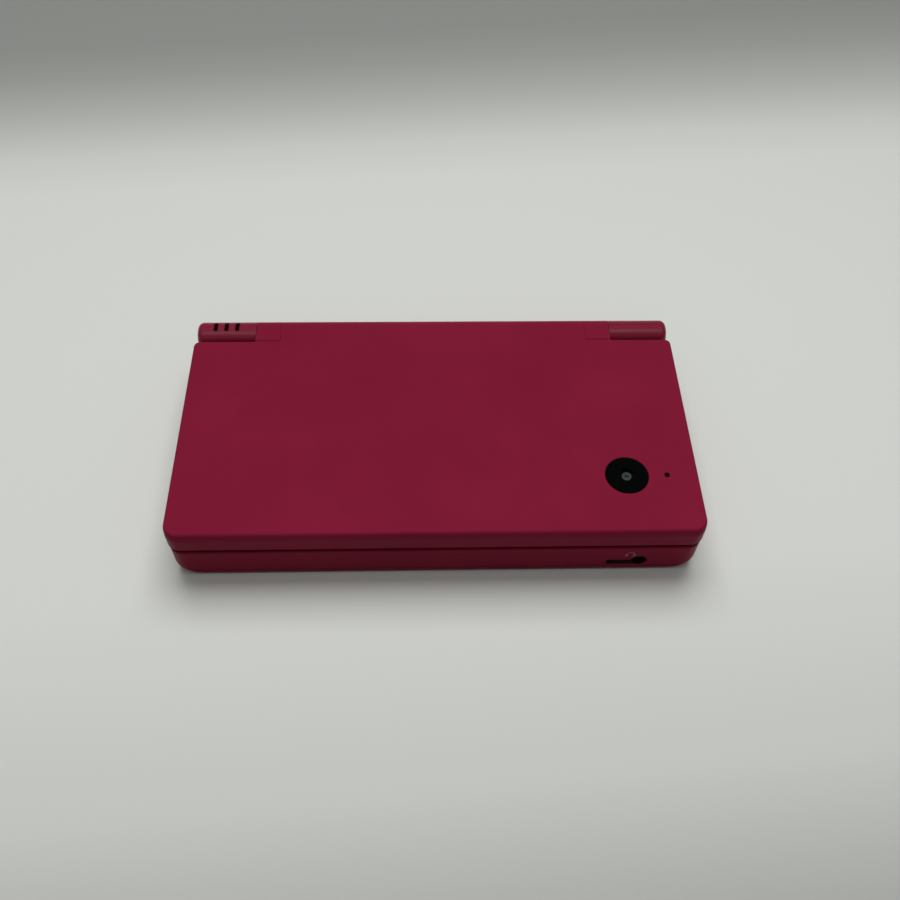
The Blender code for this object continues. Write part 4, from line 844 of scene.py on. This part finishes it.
def cross_outline(grow):
    """The d-pad's cross, anticlockwise: round tips and small round inner corners."""
    half, arm = dpad_half + grow, dpad_arm + grow
    tip = min(dpad_tip + max(grow, 0), arm)
    quarter = (arc((half - tip, tip - arm), tip, -90, 0, 6)
               + arc((half - tip, arm - tip), tip, 0, 90, 6)
               + arc((arm + dpad_inner, arm + dpad_inner), dpad_inner, 270, 180, 4))
    return [Matrix.Rotation(math.pi / 2 * i, 2) @ Vector(point) + dpad
            for i in range(4) for point in quarter]


cut(housing, deck_hole("touch opening", box_outline(*around("touch_screen", touch_gap), 0.4), 0.35),
    *[deck_hole("key hole", round_outline(middle(name).xy, radius + key_gap))
      for name, radius in key_radius.items()],
    deck_hole("cross hole", lambda grow: cross_outline(dpad_gap + grow)))
print("deck has", 2 + len(key_radius), "openings")

# %% Base housing: openings in the walls
jack = Vector((52.8, 4.9))
jack_slot = box_outline(44.2, jack.x, 3.1, 5.4, 0.4)
jack_hole = 2.1
card_half, card_floor = 17.1, 1.8
corner_gap, corner_reach = 0.25, 1.1
game_low, game_high = box("game_card_connector")
shoulder_low, shoulder_high = box("shoulder_button_right")
stylus = middle("stylus").yz
stylus_bore = 2.2
inlet_wall = 0.6


def wall_hole(name, axis, wall, outline_at, flare=0.12):
    """A cutter through an upright wall, flared at the outer face."""
    out = 1 if wall > 0 else -1
    return stack(name, outline_at, ((0, wall - out * (base_wall + overrun)),
                                    (0, wall - out * flare), (flare, wall),
                                    (flare, wall + out * overrun)), axis)


walls = [
    wall_hole("jack slot", "Y", base_low.y, jack_slot),
    wall_hole("jack hole", "Y", base_low.y, round_outline(jack, jack_hole)),
    wall_hole("game slot", "Y", base_high.y,
              box_outline(-card_half, card_half, card_floor, game_high.z, 0.3)),
    wall_hole("charger", "Y", base_high.y,
              box_outline(*around("charger_inlet", -inlet_wall, axis="Y"), 0.3)),
    wall_hole("memory slot", "X", base_high.x,
              box_outline(*around("memory_card_cover", 0.2, 0.15, "X"), 0.3)),
    wall_hole("stylus hole", "X", base_high.x, round_outline(stylus, stylus_bore)),
    wall_hole("rocker slot", "X", base_low.x,
              box_outline(*around("volume_rocker", 0.35, 0.18, "X"), 0.5)),
]
for side in (-1, 1):
    x0, x1 = sorted((side * (shoulder_low.x - corner_gap), side * (base_high.x + overrun)))
    walls.append(block("shoulder corner", x0, x1, shoulder_low.y - corner_reach,
                       base_high.y + overrun, shoulder_low.z - corner_gap,
                       shoulder_high.z + corner_gap))
cut(housing, *walls)
print("walls have", len(walls), "openings")

# %% Base housing: bores and light slits
pin_bore, screw_bore, screw_foot = 1.9, 0.9, 6
screw_top = box(nodes_named("case_screw")[0])[1].z
guide_low, guide_high = box("status_light_guide")
slit_width, slit_pitch = 1.2, 3.09
slit_front, slit_back = guide_low.y + 0.7, guide_high.y - 0.7
guide_top, finger_top = hinge_z + 2.2, lid_high.z - 0.65
slit_places = [middle("status_light_guide").x + step * slit_pitch for step in (-1, 0, 1)]


def slit_block(x, play, low, high, radius):
    """A block that fills one light slit, thinner by some play and shorter by twice that."""
    half = slit_width / 2 - play
    return block("slit", x - half, x + half, slit_front + 2 * play, slit_back - 2 * play, low,
                 high, radius)


cut(housing,
    rod("clutch bore", "X", hinge, pin_bore, knuckle_inner - overrun,
        box("hinge_clutch")[1].x + panel_gap, 32),
    rod("bush bore", "X", hinge, pin_bore, box("hinge_bush")[0].x - panel_gap,
        overrun - knuckle_inner, 32),
    rod("stylus bore", "X", stylus, stylus_bore, box("stylus")[0].x, base_high.x - overrun, 40),
    *rods_at("case_screw", screw_bore, screw_foot, screw_top + panel_gap, 20))
cut(housing, block("guide pocket", *around("status_light_guide", panel_gap), deck_low - overrun,
                   guide_top + panel_gap),
    *[slit_block(x, 0, hinge_z, lid_high.z + overrun, 0.25) for x in slit_places])
print("housing has", len(housing.data.polygons), "faces after its openings")

# %% [markdown]
# A headphone sign beside the jack is filled with paler paint, set into the wall so that it
# lies flush. It is drawn as a band over a half circle with a round cup at each end.

# %% The headphone sign and the finished housing
sign = Vector((50.15, 8.05))
band_out, band_in = 1.15, 0.85
band = arc(sign, band_out, 0, 180, 24) + arc(sign, band_in, 180, 0, 24)
cup = box_outline(-0.36, 0.36, -0.7, 0.34, 0.28)(0)
paint_back, paint_front = base_low.y + 0.06, base_low.y + 0.004


def headphones(low, high, size):
    parts = [prism("headphone_sign", band, "Y", low, high)]
    for side in (-1, 1):
        outline = [(sign.x + side * (band_out - 0.12) + a * size, sign.y - 0.2 + b * size)
                   for a, b in cup]
        parts.append(prism("headphone_sign", outline, "Y", low, high))
    return join(*parts)


cut(housing, headphones(base_low.y - overrun, paint_back, 1.0))
finish(housing, base_finish, "base_housing", angle=30)
finish(headphones(paint_front, paint_back, 0.98), front_mark_finish, "base_housing",
       slot="inner_casing")

# %% [markdown]
# ## Behind the openings
# The jack's body is dark plastic, as a real one is, but it is written almost black and
# reaches forward into the slot in the front wall: painted shade, so the slot reads dark all
# along as a deep recess would. A metal ring lines the plug hole. The light guide is one
# clear part with three fingers behind three slits in the left barrel; it is written almost
# black too, painted shade for the dark inside of the slits.

# %% Headphone jack
# Darker than the dark nylon: partly the jack's own dark plastic, partly painted shade for the slot
socket_painted_shade = moulded("socket black", (0.0035, 0.0033, 0.0035), 0.6, vary=0.1, specular=0.05)
jack_low, jack_high = box("headphone_jack")
jack_bore, lining_wall = 1.8, 0.12
nose_front, nose_back = base_low.y + 0.28, jack_low.y + 0.2
ring_front = jack_low.y + 0.6
body = prism("headphone_jack_body", rounded(*around("headphone_jack", axis="Y"), 0.5), "Y",
             jack_low.y, jack_high.y)
# The nose carries the near-black colour into the slot: painted shade for the deep recess
join(body, prism("slot nose", jack_slot(-0.04), "Y", nose_front, nose_back),
     rod("round nose", "Y", jack, 2.06, nose_front, nose_back, 40))
cut(body, rod("jack bore", "Y", jack, jack_bore, base_low.y, jack_high.y - 1, 40))
finish(body, socket_painted_shade, "headphone_jack")
lining = rod("headphone_jack_lining", "Y", jack, jack_bore - 0.01, ring_front,
             jack_high.y - 1.5, 40)
cut(lining, rod("core", "Y", jack, jack_bore - lining_wall, ring_front - overrun, jack_high.y, 40))
finish(lining, screw_finish, "headphone_jack", slot="metal")

# %% Light guide
# The guide is clear plastic; its near-black colour is painted shade for the inside of the slits
guide = block("status_light_fingers", *around("status_light_guide"), guide_low.z, guide_top, 0.2)
join(guide, *[slit_block(x, 0.05, guide_top - panel_gap, finger_top, 0.2) for x in slit_places])
finish(guide, clear_part_painted_shade, "status_light_guide")

# %% [markdown]
# ## The bottom cover
# The lower half of the base is a separate moulding, screwed on from below. It carries on
# the curve of the wall. A hair-line seam shows where the two meet. Its underside has a
# recess for the battery door, four seats for feet and six holes for screws.

# %% Bottom cover
cover_top = parting - panel_gap
cover_wall, shell_inset = 1.1, 4.4
door_gap, door_recess = 0.2, 0.9
bay_wall, bay_gap, post_radius = 1.0, 0.3, 2.2
foot_seat, seat_depth = 2.6, 0.5
screw_clearance, card_reach = 1.5, 6
post_foot, post_top = floor_low + 0.8, box("main_board")[0].z - bay_gap


def screw_hole(name, rim, low, depth, high):
    """A cutter for a screw hole, wider at its mouth where the edge is broken."""
    return turned("screw hole", "Z", middle(name).xy, [
        (rim, low - overrun), (rim, low), (screw_clearance, low + depth),
        (screw_clearance, high + overrun)], 40)


tray = loft("bottom_shell", curve_rings(floor_low, cover_top, 12))
cut(tray, prism("tray inside", rounded(*around("base_housing", -shell_inset), 2.0), "Z",
                floor_low + cover_wall, cover_top + overrun))
join(tray, block("bay wall", *around("battery_pack", bay_gap + bay_wall), post_foot, post_top),
     *rods_at("case_screw", post_radius, post_foot, post_top, 32))
cut(tray, block("battery bay", *around("battery_pack", bay_gap), floor_low - overrun,
                post_top + bay_gap + overrun),
    block("door recess", *around("battery_cover", door_gap), floor_low - overrun,
          floor_low + door_recess, 1.2),
    *rods_at("foot_", foot_seat, floor_low - overrun, floor_low + seat_depth),
    *[screw_hole(name, 1.62, floor_low, 0.12, cover_top)
      for name in nodes_named("case_screw", "battery_screw")],
    block("game slot", -card_half - panel_gap, card_half + panel_gap, base_high.y - card_reach,
          base_high.y + overrun, card_floor, parting + overrun))
finish(tray, base_finish, "base_bottom_cover", angle=30)

# %% [markdown]
# ## Keys on the deck
# The round keys are caps with a flange below the deck that stops them from falling out.
# They are turned from a profile: flange, straight side, a round edge and a top that is a
# little domed. The four big ones carry plain figures, filled with pale paint. A figure is
# cut into the cap and filled with the same figure drawn slightly smaller.

# %% Round keys
key_edge = 0.45
crown = 0.1
flange_width, flange_height = 0.8, 1.0
dent_depth, figure_height = 0.08, 3.4
ring_out, ring_in = 0.92, 0.62
bar_reach, bar_half, bar_corner = 0.75, 0.22, 0.2


def round_key(name, radius):
    """A key's cap, the height of a dent's floor in it, and the height of its top."""
    low, high = box(name)
    top, shelf = high.z - crown, low.z + flange_height
    profile = [(radius + flange_width, low.z), (radius + flange_width, shelf), (radius, shelf)]
    profile += arc((radius - key_edge, top - key_edge), key_edge, 0, 90, 3)
    profile += [((radius - key_edge) * share, high.z - crown * share ** 2)
                for share in (0.75, 0.5, 0.25, 0.03)]
    return turned(name + "_cap", "Z", middle(name).xy, profile), top - dent_depth, high.z


def figure(name, text, height, place, low, high):
    """A flat solid in the shape of a figure, standing on a plane across Z."""
    curve = bpy.data.curves.new(name, "FONT")
    curve.body, curve.size, curve.extrude = text, height * mm, (high - low) / 2 * mm
    curve.align_x, curve.align_y, curve.resolution_u = "CENTER", "CENTER", 6
    writer = add_object(name, curve)
    bm = bmesh.new()
    bm.from_mesh(evaluated(writer))
    bpy.data.objects.remove(writer)
    centre = Vector((*place, (low + high) / 2)) * mm
    bmesh.ops.translate(bm, verts=bm.verts, vec=centre)
    bmesh.ops.remove_doubles(bm, verts=bm.verts, dist=2 * touching)
    return link(name, bm)


for text, name in zip("1234", figure_keys):
    cap, floor_z, high = round_key(name, key_radius[name])
    place = middle(name).xy
    cut(cap, figure("dent", text, figure_height, place, floor_z, high + overrun))
    finish(cap, key_finish, name)
    paint = figure(name + "_figure", text, figure_height - 0.03, place, floor_z + 0.004,
                   high - crown)
    finish(paint, mark_finish, name, slot="key_plastic")
for name in ("start_button", "select_button", "power_button"):
    cap, floor_z, high = round_key(name, key_radius[name])
    x, y = middle(name).xy
    if name == "power_button":
        dent = rod("ring", "Z", (x, y), ring_out, floor_z, high + overrun)
        cut(dent, rod("core", "Z", (x, y), ring_in, floor_z - overrun, high + 2 * overrun))
    else:
        dent = block("bar", x - bar_reach, x + bar_reach, y - bar_half, y + bar_half, floor_z,
                     high + overrun, bar_corner)
    finish(cut(cap, dent), key_finish, name)
print("seven round keys")

# %% [markdown]
# ## The d-pad
# One moulding in the shape of a cross stands on a round flange under the deck and rocks on
# a rubber dome. Its arms have small arrow dents, and its middle is dished for the thumb. A
# real one is this shape so that it can tip towards any arm but never slide.

# %% D-pad
dpad_low, dpad_high = box("dpad")
flange_top = dpad_low.z + 0.6
dish_depth, dish_reach = 0.35, 3.2
dish_radius = (dish_reach ** 2 + dish_depth ** 2) / (2 * dish_depth)
dish_centre = dpad_high.z - dish_depth + dish_radius
arrow = ((5.9, -1.1), (7.6, 0.0), (5.9, 1.1))
arrow_floor = dpad_high.z - 0.3
cross_ring = ring_from(cross_outline)
pad = loft("dpad_cross", [cross_ring(0, flange_top - 0.2)]
           + round_edge(cross_ring, 0.4, dpad_high.z, steps=4))
cut(pad, turned("dish", "Z", dpad, oval((0, dish_centre), dish_radius, dish_radius,
                                        (-89.5, -87, -84, -81, -78, -75, -70))))
for quarter in range(4):
    turn = Matrix.Rotation(math.pi / 2 * quarter, 2)
    corners = [turn @ Vector(point) + dpad for point in arrow]
    cut(pad, prism("dent", corners, "Z", arrow_floor, dpad_high.z + overrun))
join(pad, rod("flange", "Z", dpad, (dpad_high.x - dpad_low.x) / 2, dpad_low.z, flange_top, 72))
finish(pad, key_finish, "dpad")

# %% [markdown]
# ## Controls and covers in the walls
# The volume rocker is a bar with a plus and a minus pressed into its ends. The shoulder
# buttons fill the two rear corners, so they take the base's own outline. The memory card
# cover and the stylus end sit flush with the right wall, and only the thin gaps around them
# tell that they move. Each has its edges broken a little, which makes the gap visible.

# %% Volume rocker
rocker_low, rocker_high = box("volume_rocker")
rocker = middle("volume_rocker")
rocker_corner, least_rocker_corner = 0.5, 0.1
sign_place, stroke, reach = 4.6, 0.17, 0.65


def rocker_outline(grow):
    return rounded(*around("volume_rocker", grow, axis="X"),
                   max(rocker_corner + grow, least_rocker_corner), steps=6)


def stroke_cutter(y, half_width, half_height):
    """A cutter for one stroke of a sign in the rocker's outer face."""
    return block("stroke", rocker_low.x - overrun, rocker_low.x + 0.12, y - half_width,
                 y + half_width, rocker.z - half_height, rocker.z + half_height)


bar = stack("volume_rocker_bar", rocker_outline,
            ((-0.3, rocker_low.x), (-0.1, rocker_low.x + 0.08), (0, rocker_low.x + 0.25),
             (0, rocker_high.x)), "X")
cut(bar, stroke_cutter(rocker.y + sign_place, reach, stroke),
    stroke_cutter(rocker.y + sign_place, stroke, reach),
    stroke_cutter(rocker.y - sign_place, reach, stroke))
finish(bar, base_finish, "volume_rocker")

# %% Shoulder buttons
shoulder_round = 0.35
pin_hole, spring_radius, spring_half = 0.7, 1.8, 1.3
for side, word in ((-1, "left"), (1, "right")):
    name = "shoulder_button_" + word
    low, high = box(name)
    pin = middle("shoulder_pin_" + word).xy
    mid = middle(name).z

    def corner_ring(inset, z):
        """The rear corner of the base's outline between the button's inner faces."""
        inner = side * (abs(shoulder_low.x) + inset)
        outer, back = side * (base_high.x - inset), base_high.y - inset
        radius = base_rear_corner - inset
        front = shoulder_low.y + inset
        bend = arc((outer - side * radius, back - radius), radius, 90 - side * 90, 90, 10)
        return level([(inner, front), (outer, front), *bend, (inner, back)], z)

    button = loft(name + "_cap",
                  round_edge(corner_ring, shoulder_round, low.z, down=True, steps=4)
                  + round_edge(corner_ring, shoulder_round, high.z, steps=4))
    cut(button, rod("pin hole", "Z", pin, pin_hole, low.z - overrun, high.z + overrun, 24),
        rod("spring room", "Z", pin, spring_radius, mid - spring_half, mid + spring_half, 32))
    finish(button, base_finish, name)

# %% Memory card cover
cover_low, cover_high = box("memory_card_cover")
cover_edge = 0.12
nail_depth, nail_start, nail_end, nail_rise = 0.35, 1.4, 2.2, 0.9
hinge_round = (cover_high.x - cover_low.x) / 2
skin_heights = (floor_low + 1.6, floor_low + 2.2, floor_low + 2.8, floor_low + 3.4, curve_top,
                cover_high.z + overrun)


def cover_ring(inset, z):
    """Seen from above: flat, with the half round end that it swings on."""
    x0, x1 = cover_low.x + inset, cover_high.x - inset
    y0, y1 = cover_low.y + inset, cover_high.y - hinge_round
    end = arc(((x0 + x1) / 2, y1), hinge_round - inset, 0, 180, 16)
    return level([(x0, y0), (x1, y0), *end], z)


door = loft("memory_card_door", round_edge(cover_ring, cover_edge, cover_low.z, down=True, steps=2)
            + round_edge(cover_ring, cover_edge, cover_high.z, steps=2))
combine("INTERSECT", door, [loft("skin", [curved_ring(z) for z in skin_heights])])
cut(door, block("nail groove", cover_high.x - nail_depth, cover_high.x + overrun,
                cover_low.y + nail_start, cover_low.y + nail_end, cover_low.z + nail_rise,
                cover_high.z - nail_rise))
finish(door, base_finish, "memory_card_cover", angle=25)

# %% Stylus
tip, end = box("stylus")
grip, groove = 2.0, 1.85
pen = turned("stylus_pen", "X", stylus, [
    (0.35, tip.x), (0.6, tip.x + 0.25), (0.75, tip.x + 1.2), (1.25, tip.x + 3.4),
    (grip, tip.x + 5.2), (grip, end.x - 7), (groove, end.x - 6.9), (groove, end.x - 6.5),
    (grip, end.x - 6.4), (grip, end.x - 0.5), (grip - 0.12, end.x - 0.15),
    (grip - 0.35, end.x - 0.02), (grip - 0.7, end.x), (0.1, end.x)], 40)
cut(pen, block("nail notch", end.x - 2.6, end.x - 1.8, tip.y - overrun, end.y + overrun,
               tip.z - overrun, tip.z + 0.3))
finish(pen, base_finish, "stylus", angle=28)

# %% [markdown]
# ## Screws, feet and grille slots from node trees
# What repeats is made with Geometry Nodes. One small tree sets copies of a shape on a list
# of points and gives them their material, so a longer screw or another pitch is one number.
# A screw is a head with a round edge and a cross recess, made once for each length and set
# on the foot of every screw's box.

# %% A tree that repeats a shape
def repeater(name, shape, points, material):
    """A node tree: a shape on points, an input for its size, one material at the end."""
    bm = bmesh.new()
    for point in points:
        bm.verts.new([place * mm for place in point])
    cloud = bpy.data.meshes.new(name + " points")
    bm.to_mesh(cloud)
    bm.free()
    holder = add_object(name, cloud)
    tree = bpy.data.node_groups.new(name, "GeometryNodeTree")
    tree.interface.new_socket("Geometry", in_out="INPUT", socket_type="NodeSocketGeometry")
    size = tree.interface.new_socket("Size", in_out="INPUT", socket_type="NodeSocketFloat")
    tree.interface.new_socket("Geometry", in_out="OUTPUT", socket_type="NodeSocketGeometry")
    source, sink, model, copies, real, paint = [tree.nodes.new(kind) for kind in (
        "NodeGroupInput", "NodeGroupOutput", "GeometryNodeObjectInfo",
        "GeometryNodeInstanceOnPoints", "GeometryNodeRealizeInstances", "GeometryNodeSetMaterial")]
    model.inputs["Object"].default_value = shape
    paint.inputs["Material"].default_value = material
    for output, entry in (
            (source.outputs["Geometry"], copies.inputs["Points"]),
            (model.outputs["Geometry"], copies.inputs["Instance"]),
            (source.outputs["Size"], copies.inputs["Scale"]),
            (copies.outputs["Instances"], real.inputs["Geometry"]),
            (real.outputs["Geometry"], paint.inputs["Geometry"]),
            (paint.outputs["Geometry"], sink.inputs["Geometry"])):
        tree.links.new(output, entry)
    modifier = holder.modifiers.new("repeat", "NODES")
    modifier.node_group = tree
    modifier[size.identifier] = 1.0
    holder.data = evaluated(holder)
    bpy.data.objects.remove(shape)
    print(name, "repeats", len(points), "times,", len(holder.data.polygons), "faces")
    return holder


def round_size(node):
    """Half the width and the height of a round node's box."""
    low, high = box(node)
    return (high.x - low.x) / 2, high.z - low.z


def set_on(names, title, material, profile_of, steps=round_steps, angle=32, recess=()):
    """Turns a shape of the nodes' radius and height and sets a copy on the foot of each."""
    profile = profile_of(*round_size(names[0]))
    shape = cut(turned(title + " shape", "Z", (0, 0), profile, steps), *recess)
    points = [(*middle(name).xy, box(name)[0].z) for name in names]
    finish(repeater(title, shape, points, material), material, *names, angle=angle)


# %% Screws
head_radius, head_height, shank = 1.3, 0.8, 0.8
arm, half_slot, slot_depth = 0.72, 0.17, 0.42
for prefix in ("case_screw_", "battery_screw_"):
    recess = [block("slot", -x, x, -y, y, -overrun, slot_depth)
              for x, y in ((arm, half_slot), (half_slot, arm))]
    set_on(nodes_named(prefix), prefix + "set", screw_finish, lambda radius, length: [
        (head_radius - 0.22, 0), (head_radius - 0.07, 0.07), (head_radius, 0.24),
        (head_radius, head_height), (shank, head_height), (shank, length - 0.4),
        (shank / 2, length)], 32, 30, recess)

# %% Feet
set_on(nodes_named("foot_"), "feet_set", foot_finish, lambda radius, height: [
    (radius - 0.35, 0), (radius - 0.12, 0.08), (radius, 0.3), (radius, height)], 40)

# %% [markdown]
# ## The lid's inner face
# A frame closes the lid from inside. It holds the upper window, and three slots on each
# side let the sound of a speaker out. One slot is drawn, a node tree repeats it, and the
# copies are cut out together. Two rubber bumpers keep the closed lid off the deck.

# %% Inner frame
bezel_low, bezel_high = box("lid_inner_bezel")
speaker = middle("right_speaker")
slot_width, slot_length, slot_space = 1.1, 9.0, 2.4
window_gap, seat_radius, bumper_seat = 0.2, 1.75, 0.6


def bezel_ring(inset, z):
    return lid_ring(bezel_low.x - lid_low.x + inset, z)


def slot_outline(grow):
    half, reach = slot_width / 2 + grow, slot_length / 2 + grow
    return rounded(-half, half, -reach, reach, half - 0.02, steps=8)


slots = repeater("grille_slots",
                 stack("grille_slot", slot_outline,
                       ((0.25, -overrun), (0.15, 0), (0, 0.15), (0, 2))),
                 [(side * speaker.x + step * slot_space, speaker.y, bezel_low.z)
                  for side in (-1, 1) for step in (-1, 0, 1)], inner_finish)
bezel = loft("lid_inner_frame", round_edge(bezel_ring, 0.3, bezel_low.z, down=True, steps=3)
             + [bezel_ring(0, bezel_high.z)])
cut(bezel, stack("window opening", box_outline(*around("upper_display_window", window_gap), 0.5),
                 ((0.5, bezel_low.z - overrun), (0.25, bezel_low.z), (0, bezel_low.z + 0.25),
                  (0, bezel_high.z + overrun))),
    slots, *rods_at("lid_bumper_", seat_radius, bezel_low.z - overrun, bezel_low.z + bumper_seat))
finish(bezel, inner_finish, "lid_inner_bezel", angle=28)

# %% Bumpers
set_on(nodes_named("lid_bumper_"), "bumper_pair", rubber_finish, lambda radius, height: [
    (0.1, 0), (radius - 0.6, 0.03), (radius - 0.25, 0.18), (radius - 0.05, 0.42), (radius, 0.7),
    (radius, height)], 32)

# %% Speakers
set_on(("left_speaker", "right_speaker"), "speaker_pair", dark_finish, lambda radius, height: [
    (0.1, 0.55), (1.2, 0.45), (1.9, 0.8), (5.4, 0.25), (5.8, 0.06), (6.2, 0.12), (6.5, 0.3),
    (6.7, 0.02), (radius, 0.02), (radius, height / 2), (0.62 * radius, height / 2),
    (0.62 * radius, height), (0.1, height)])

# %% [markdown]
# ## The two displays
# Both displays look like one black sheet with a greyer picture area. The sheet is a plate
# with a window cut in it, and the picture area is a second plate that lies a hair lower.
# The upper one is hard glass, the lower one a touch film with a softer shine.

# %% Displays
half_width, half_height = 33, 24.75
sheet_edge = 0.12
touch_finish = moulded("touch film", (0.013, 0.0145, 0.0155), 0.34, grain=6000, depth=0.001,
                       vary=0.1, specular=0.3)


def display(name, node, inward, face_finish):
    """A black frame and a picture area; inward is +1 where the glass faces down."""
    face, back = (corner.z for corner in box(node)[::inward])
    x, y = middle(node).xy
    picture = box_outline(x - half_width, x + half_width, y - half_height, y + half_height, 0.3)
    sheet = stack(name + "_frame", box_outline(*around(node), 0.6),
                  ((-sheet_edge, face), (0, face + inward * sheet_edge), (0, back)))
    cut(sheet, prism("window", picture(0), "Z",
                     *sorted((face - inward * overrun, back + inward * overrun))))
    finish(sheet, glass_finish, node)
    plate = stack(name + "_picture", picture, (
        (-0.06, face + inward * 0.02), (-0.02, face + inward * 0.06),
        (-0.02, back - inward * 0.1)))
    finish(plate, face_finish, node, slot="display")


display("upper_display", "upper_display_window", 1, screen_finish)
display("touch_display", "touch_screen", -1, touch_finish)

# %% [markdown]
# ## Inner camera and microphone
# In the middle of the hinge sits a second camera. With the lid shut it looks down into the
# trough; opened, it looks at the player. Beside it is the small hole of the microphone.

# %% Inner camera and microphone
eye_low, eye_high = box("inner_camera")
eye_body = block("inner_camera_body", *around("inner_camera"), hinge_z - 1.8, eye_high.z, 0.4)
join(eye_body, turned("inner barrel", "Z", inner_lens, [
    (0.35, eye_low.z + 0.3), (0.75, eye_low.z + 0.3), (1.05, eye_low.z), (1.2, eye_low.z),
    (1.3, eye_low.z + 0.1), (1.3, hinge_z - 1.5)], 40))
finish(eye_body, glass_finish, "inner_camera")
inner_glass = turned("inner_camera_lens", "Z", inner_lens, [
    *oval((0, eye_low.z + 0.34), 0.7, 0.2, (-84, -60, -30, 0)), (0.7, eye_low.z + 0.5)], 32)
finish(inner_glass, lens_finish, "inner_camera", slot="camera_glass")

capsule_low, capsule_high = box("microphone")
radius = round_size("microphone")[0]
capsule = turned("microphone_capsule", "Z", middle("microphone").xy, [
    (0.3, capsule_low.z + 0.25), (0.4, capsule_low.z), (radius - 0.2, capsule_low.z),
    (radius, capsule_low.z + 0.2), (radius, capsule_high.z)], 40)
finish(capsule, dark_finish, "microphone")

# %% [markdown]
# ## Battery door and sockets
# The battery door is a thin plate flush with the underside, held by two screws, with a
# notch for a fingernail. The charger inlet is a folded steel shell around a plastic tongue.
# The card slot at the back shows a row of spring contacts, repeated by the same kind of
# tree as the screws.

# %% Battery door
door_low, door_high = box("battery_cover")
battery_ring = ring_from(box_outline(*around("battery_cover"), 1.3))
door_edge = 0.12
notch_half, notch_reach, notch_depth = 5, 1.3, 0.35
grip_half, grip_start, grip_width, grip_pitch, grip_depth = 9, 3.2, 0.5, 1.1, 0.15
plate = loft("battery_door", round_edge(battery_ring, door_edge, door_low.z, down=True, steps=2)
             + [battery_ring(0, door_high.z)])
cut(plate, *[screw_hole(name, 1.58, door_low.z, 0.08, door_high.z)
             for name in nodes_named("battery_screw")],
    block("nail notch", -notch_half, notch_half, door_high.y - notch_reach,
          door_high.y + overrun, door_low.z - overrun, door_low.z + notch_depth, 0.6),
    *[block("grip", -grip_half, grip_half, y, y + grip_width, door_low.z - overrun,
            door_low.z + grip_depth, 0.2)
      for y in [door_high.y - grip_start - i * grip_pitch for i in range(4)]])
finish(plate, base_finish, "battery_cover")

# %% Charger inlet
inlet_low, inlet_high = box("charger_inlet")
inlet_z = middle("charger_inlet").z
tongue_side, tongue_thickness = 1.4, 0.8
inlet_outline = box_outline(*around("charger_inlet", axis="Y"), 0.7)
inlet = prism("charger_shell", inlet_outline(0), "Y", inlet_low.y, inlet_high.y)
cut(inlet, prism("mouth", inlet_outline(-0.3), "Y", inlet_low.y + 0.6, inlet_high.y + overrun))
finish(inlet, steel_finish, "charger_inlet")
tongue = block("charger_tongue", inlet_low.x + tongue_side, inlet_high.x - tongue_side,
               inlet_low.y + 0.4, inlet_high.y - 0.9, inlet_z - tongue_thickness / 2,
               inlet_z + tongue_thickness / 2, 0.25, "Y")
finish(tongue, dark_finish, "charger_inlet", slot="metal")

# %% Contact row
gold_finish = brushed("gold contacts", (0.62, 0.42, 0.14), 0.3, (1, 1, 0.2))
contact_count, contact_pitch = 17, 1.9
contact_length, contact_width, contact_thickness = 3.6, 0.7, 0.12
contact_y, contact_z = game_low.y + 4.1, game_low.z + 0.1
bow = [(contact_length * share, rise) for share, rise in (
    (0, 0), (0.55, 0.10), (0.80, 0.42), (0.92, 0.45), (1.0, 0.22))]
contact = prism("contact", [(y, z + contact_thickness) for y, z in bow] + bow[::-1], "X",
                -contact_width / 2, contact_width / 2)
game_row = repeater("game_contacts", contact, [
    ((i - (contact_count - 1) / 2) * contact_pitch, contact_y, contact_z)
    for i in range(contact_count)], gold_finish)
finish(game_row, gold_finish, "game_card_connector", slot="metal")
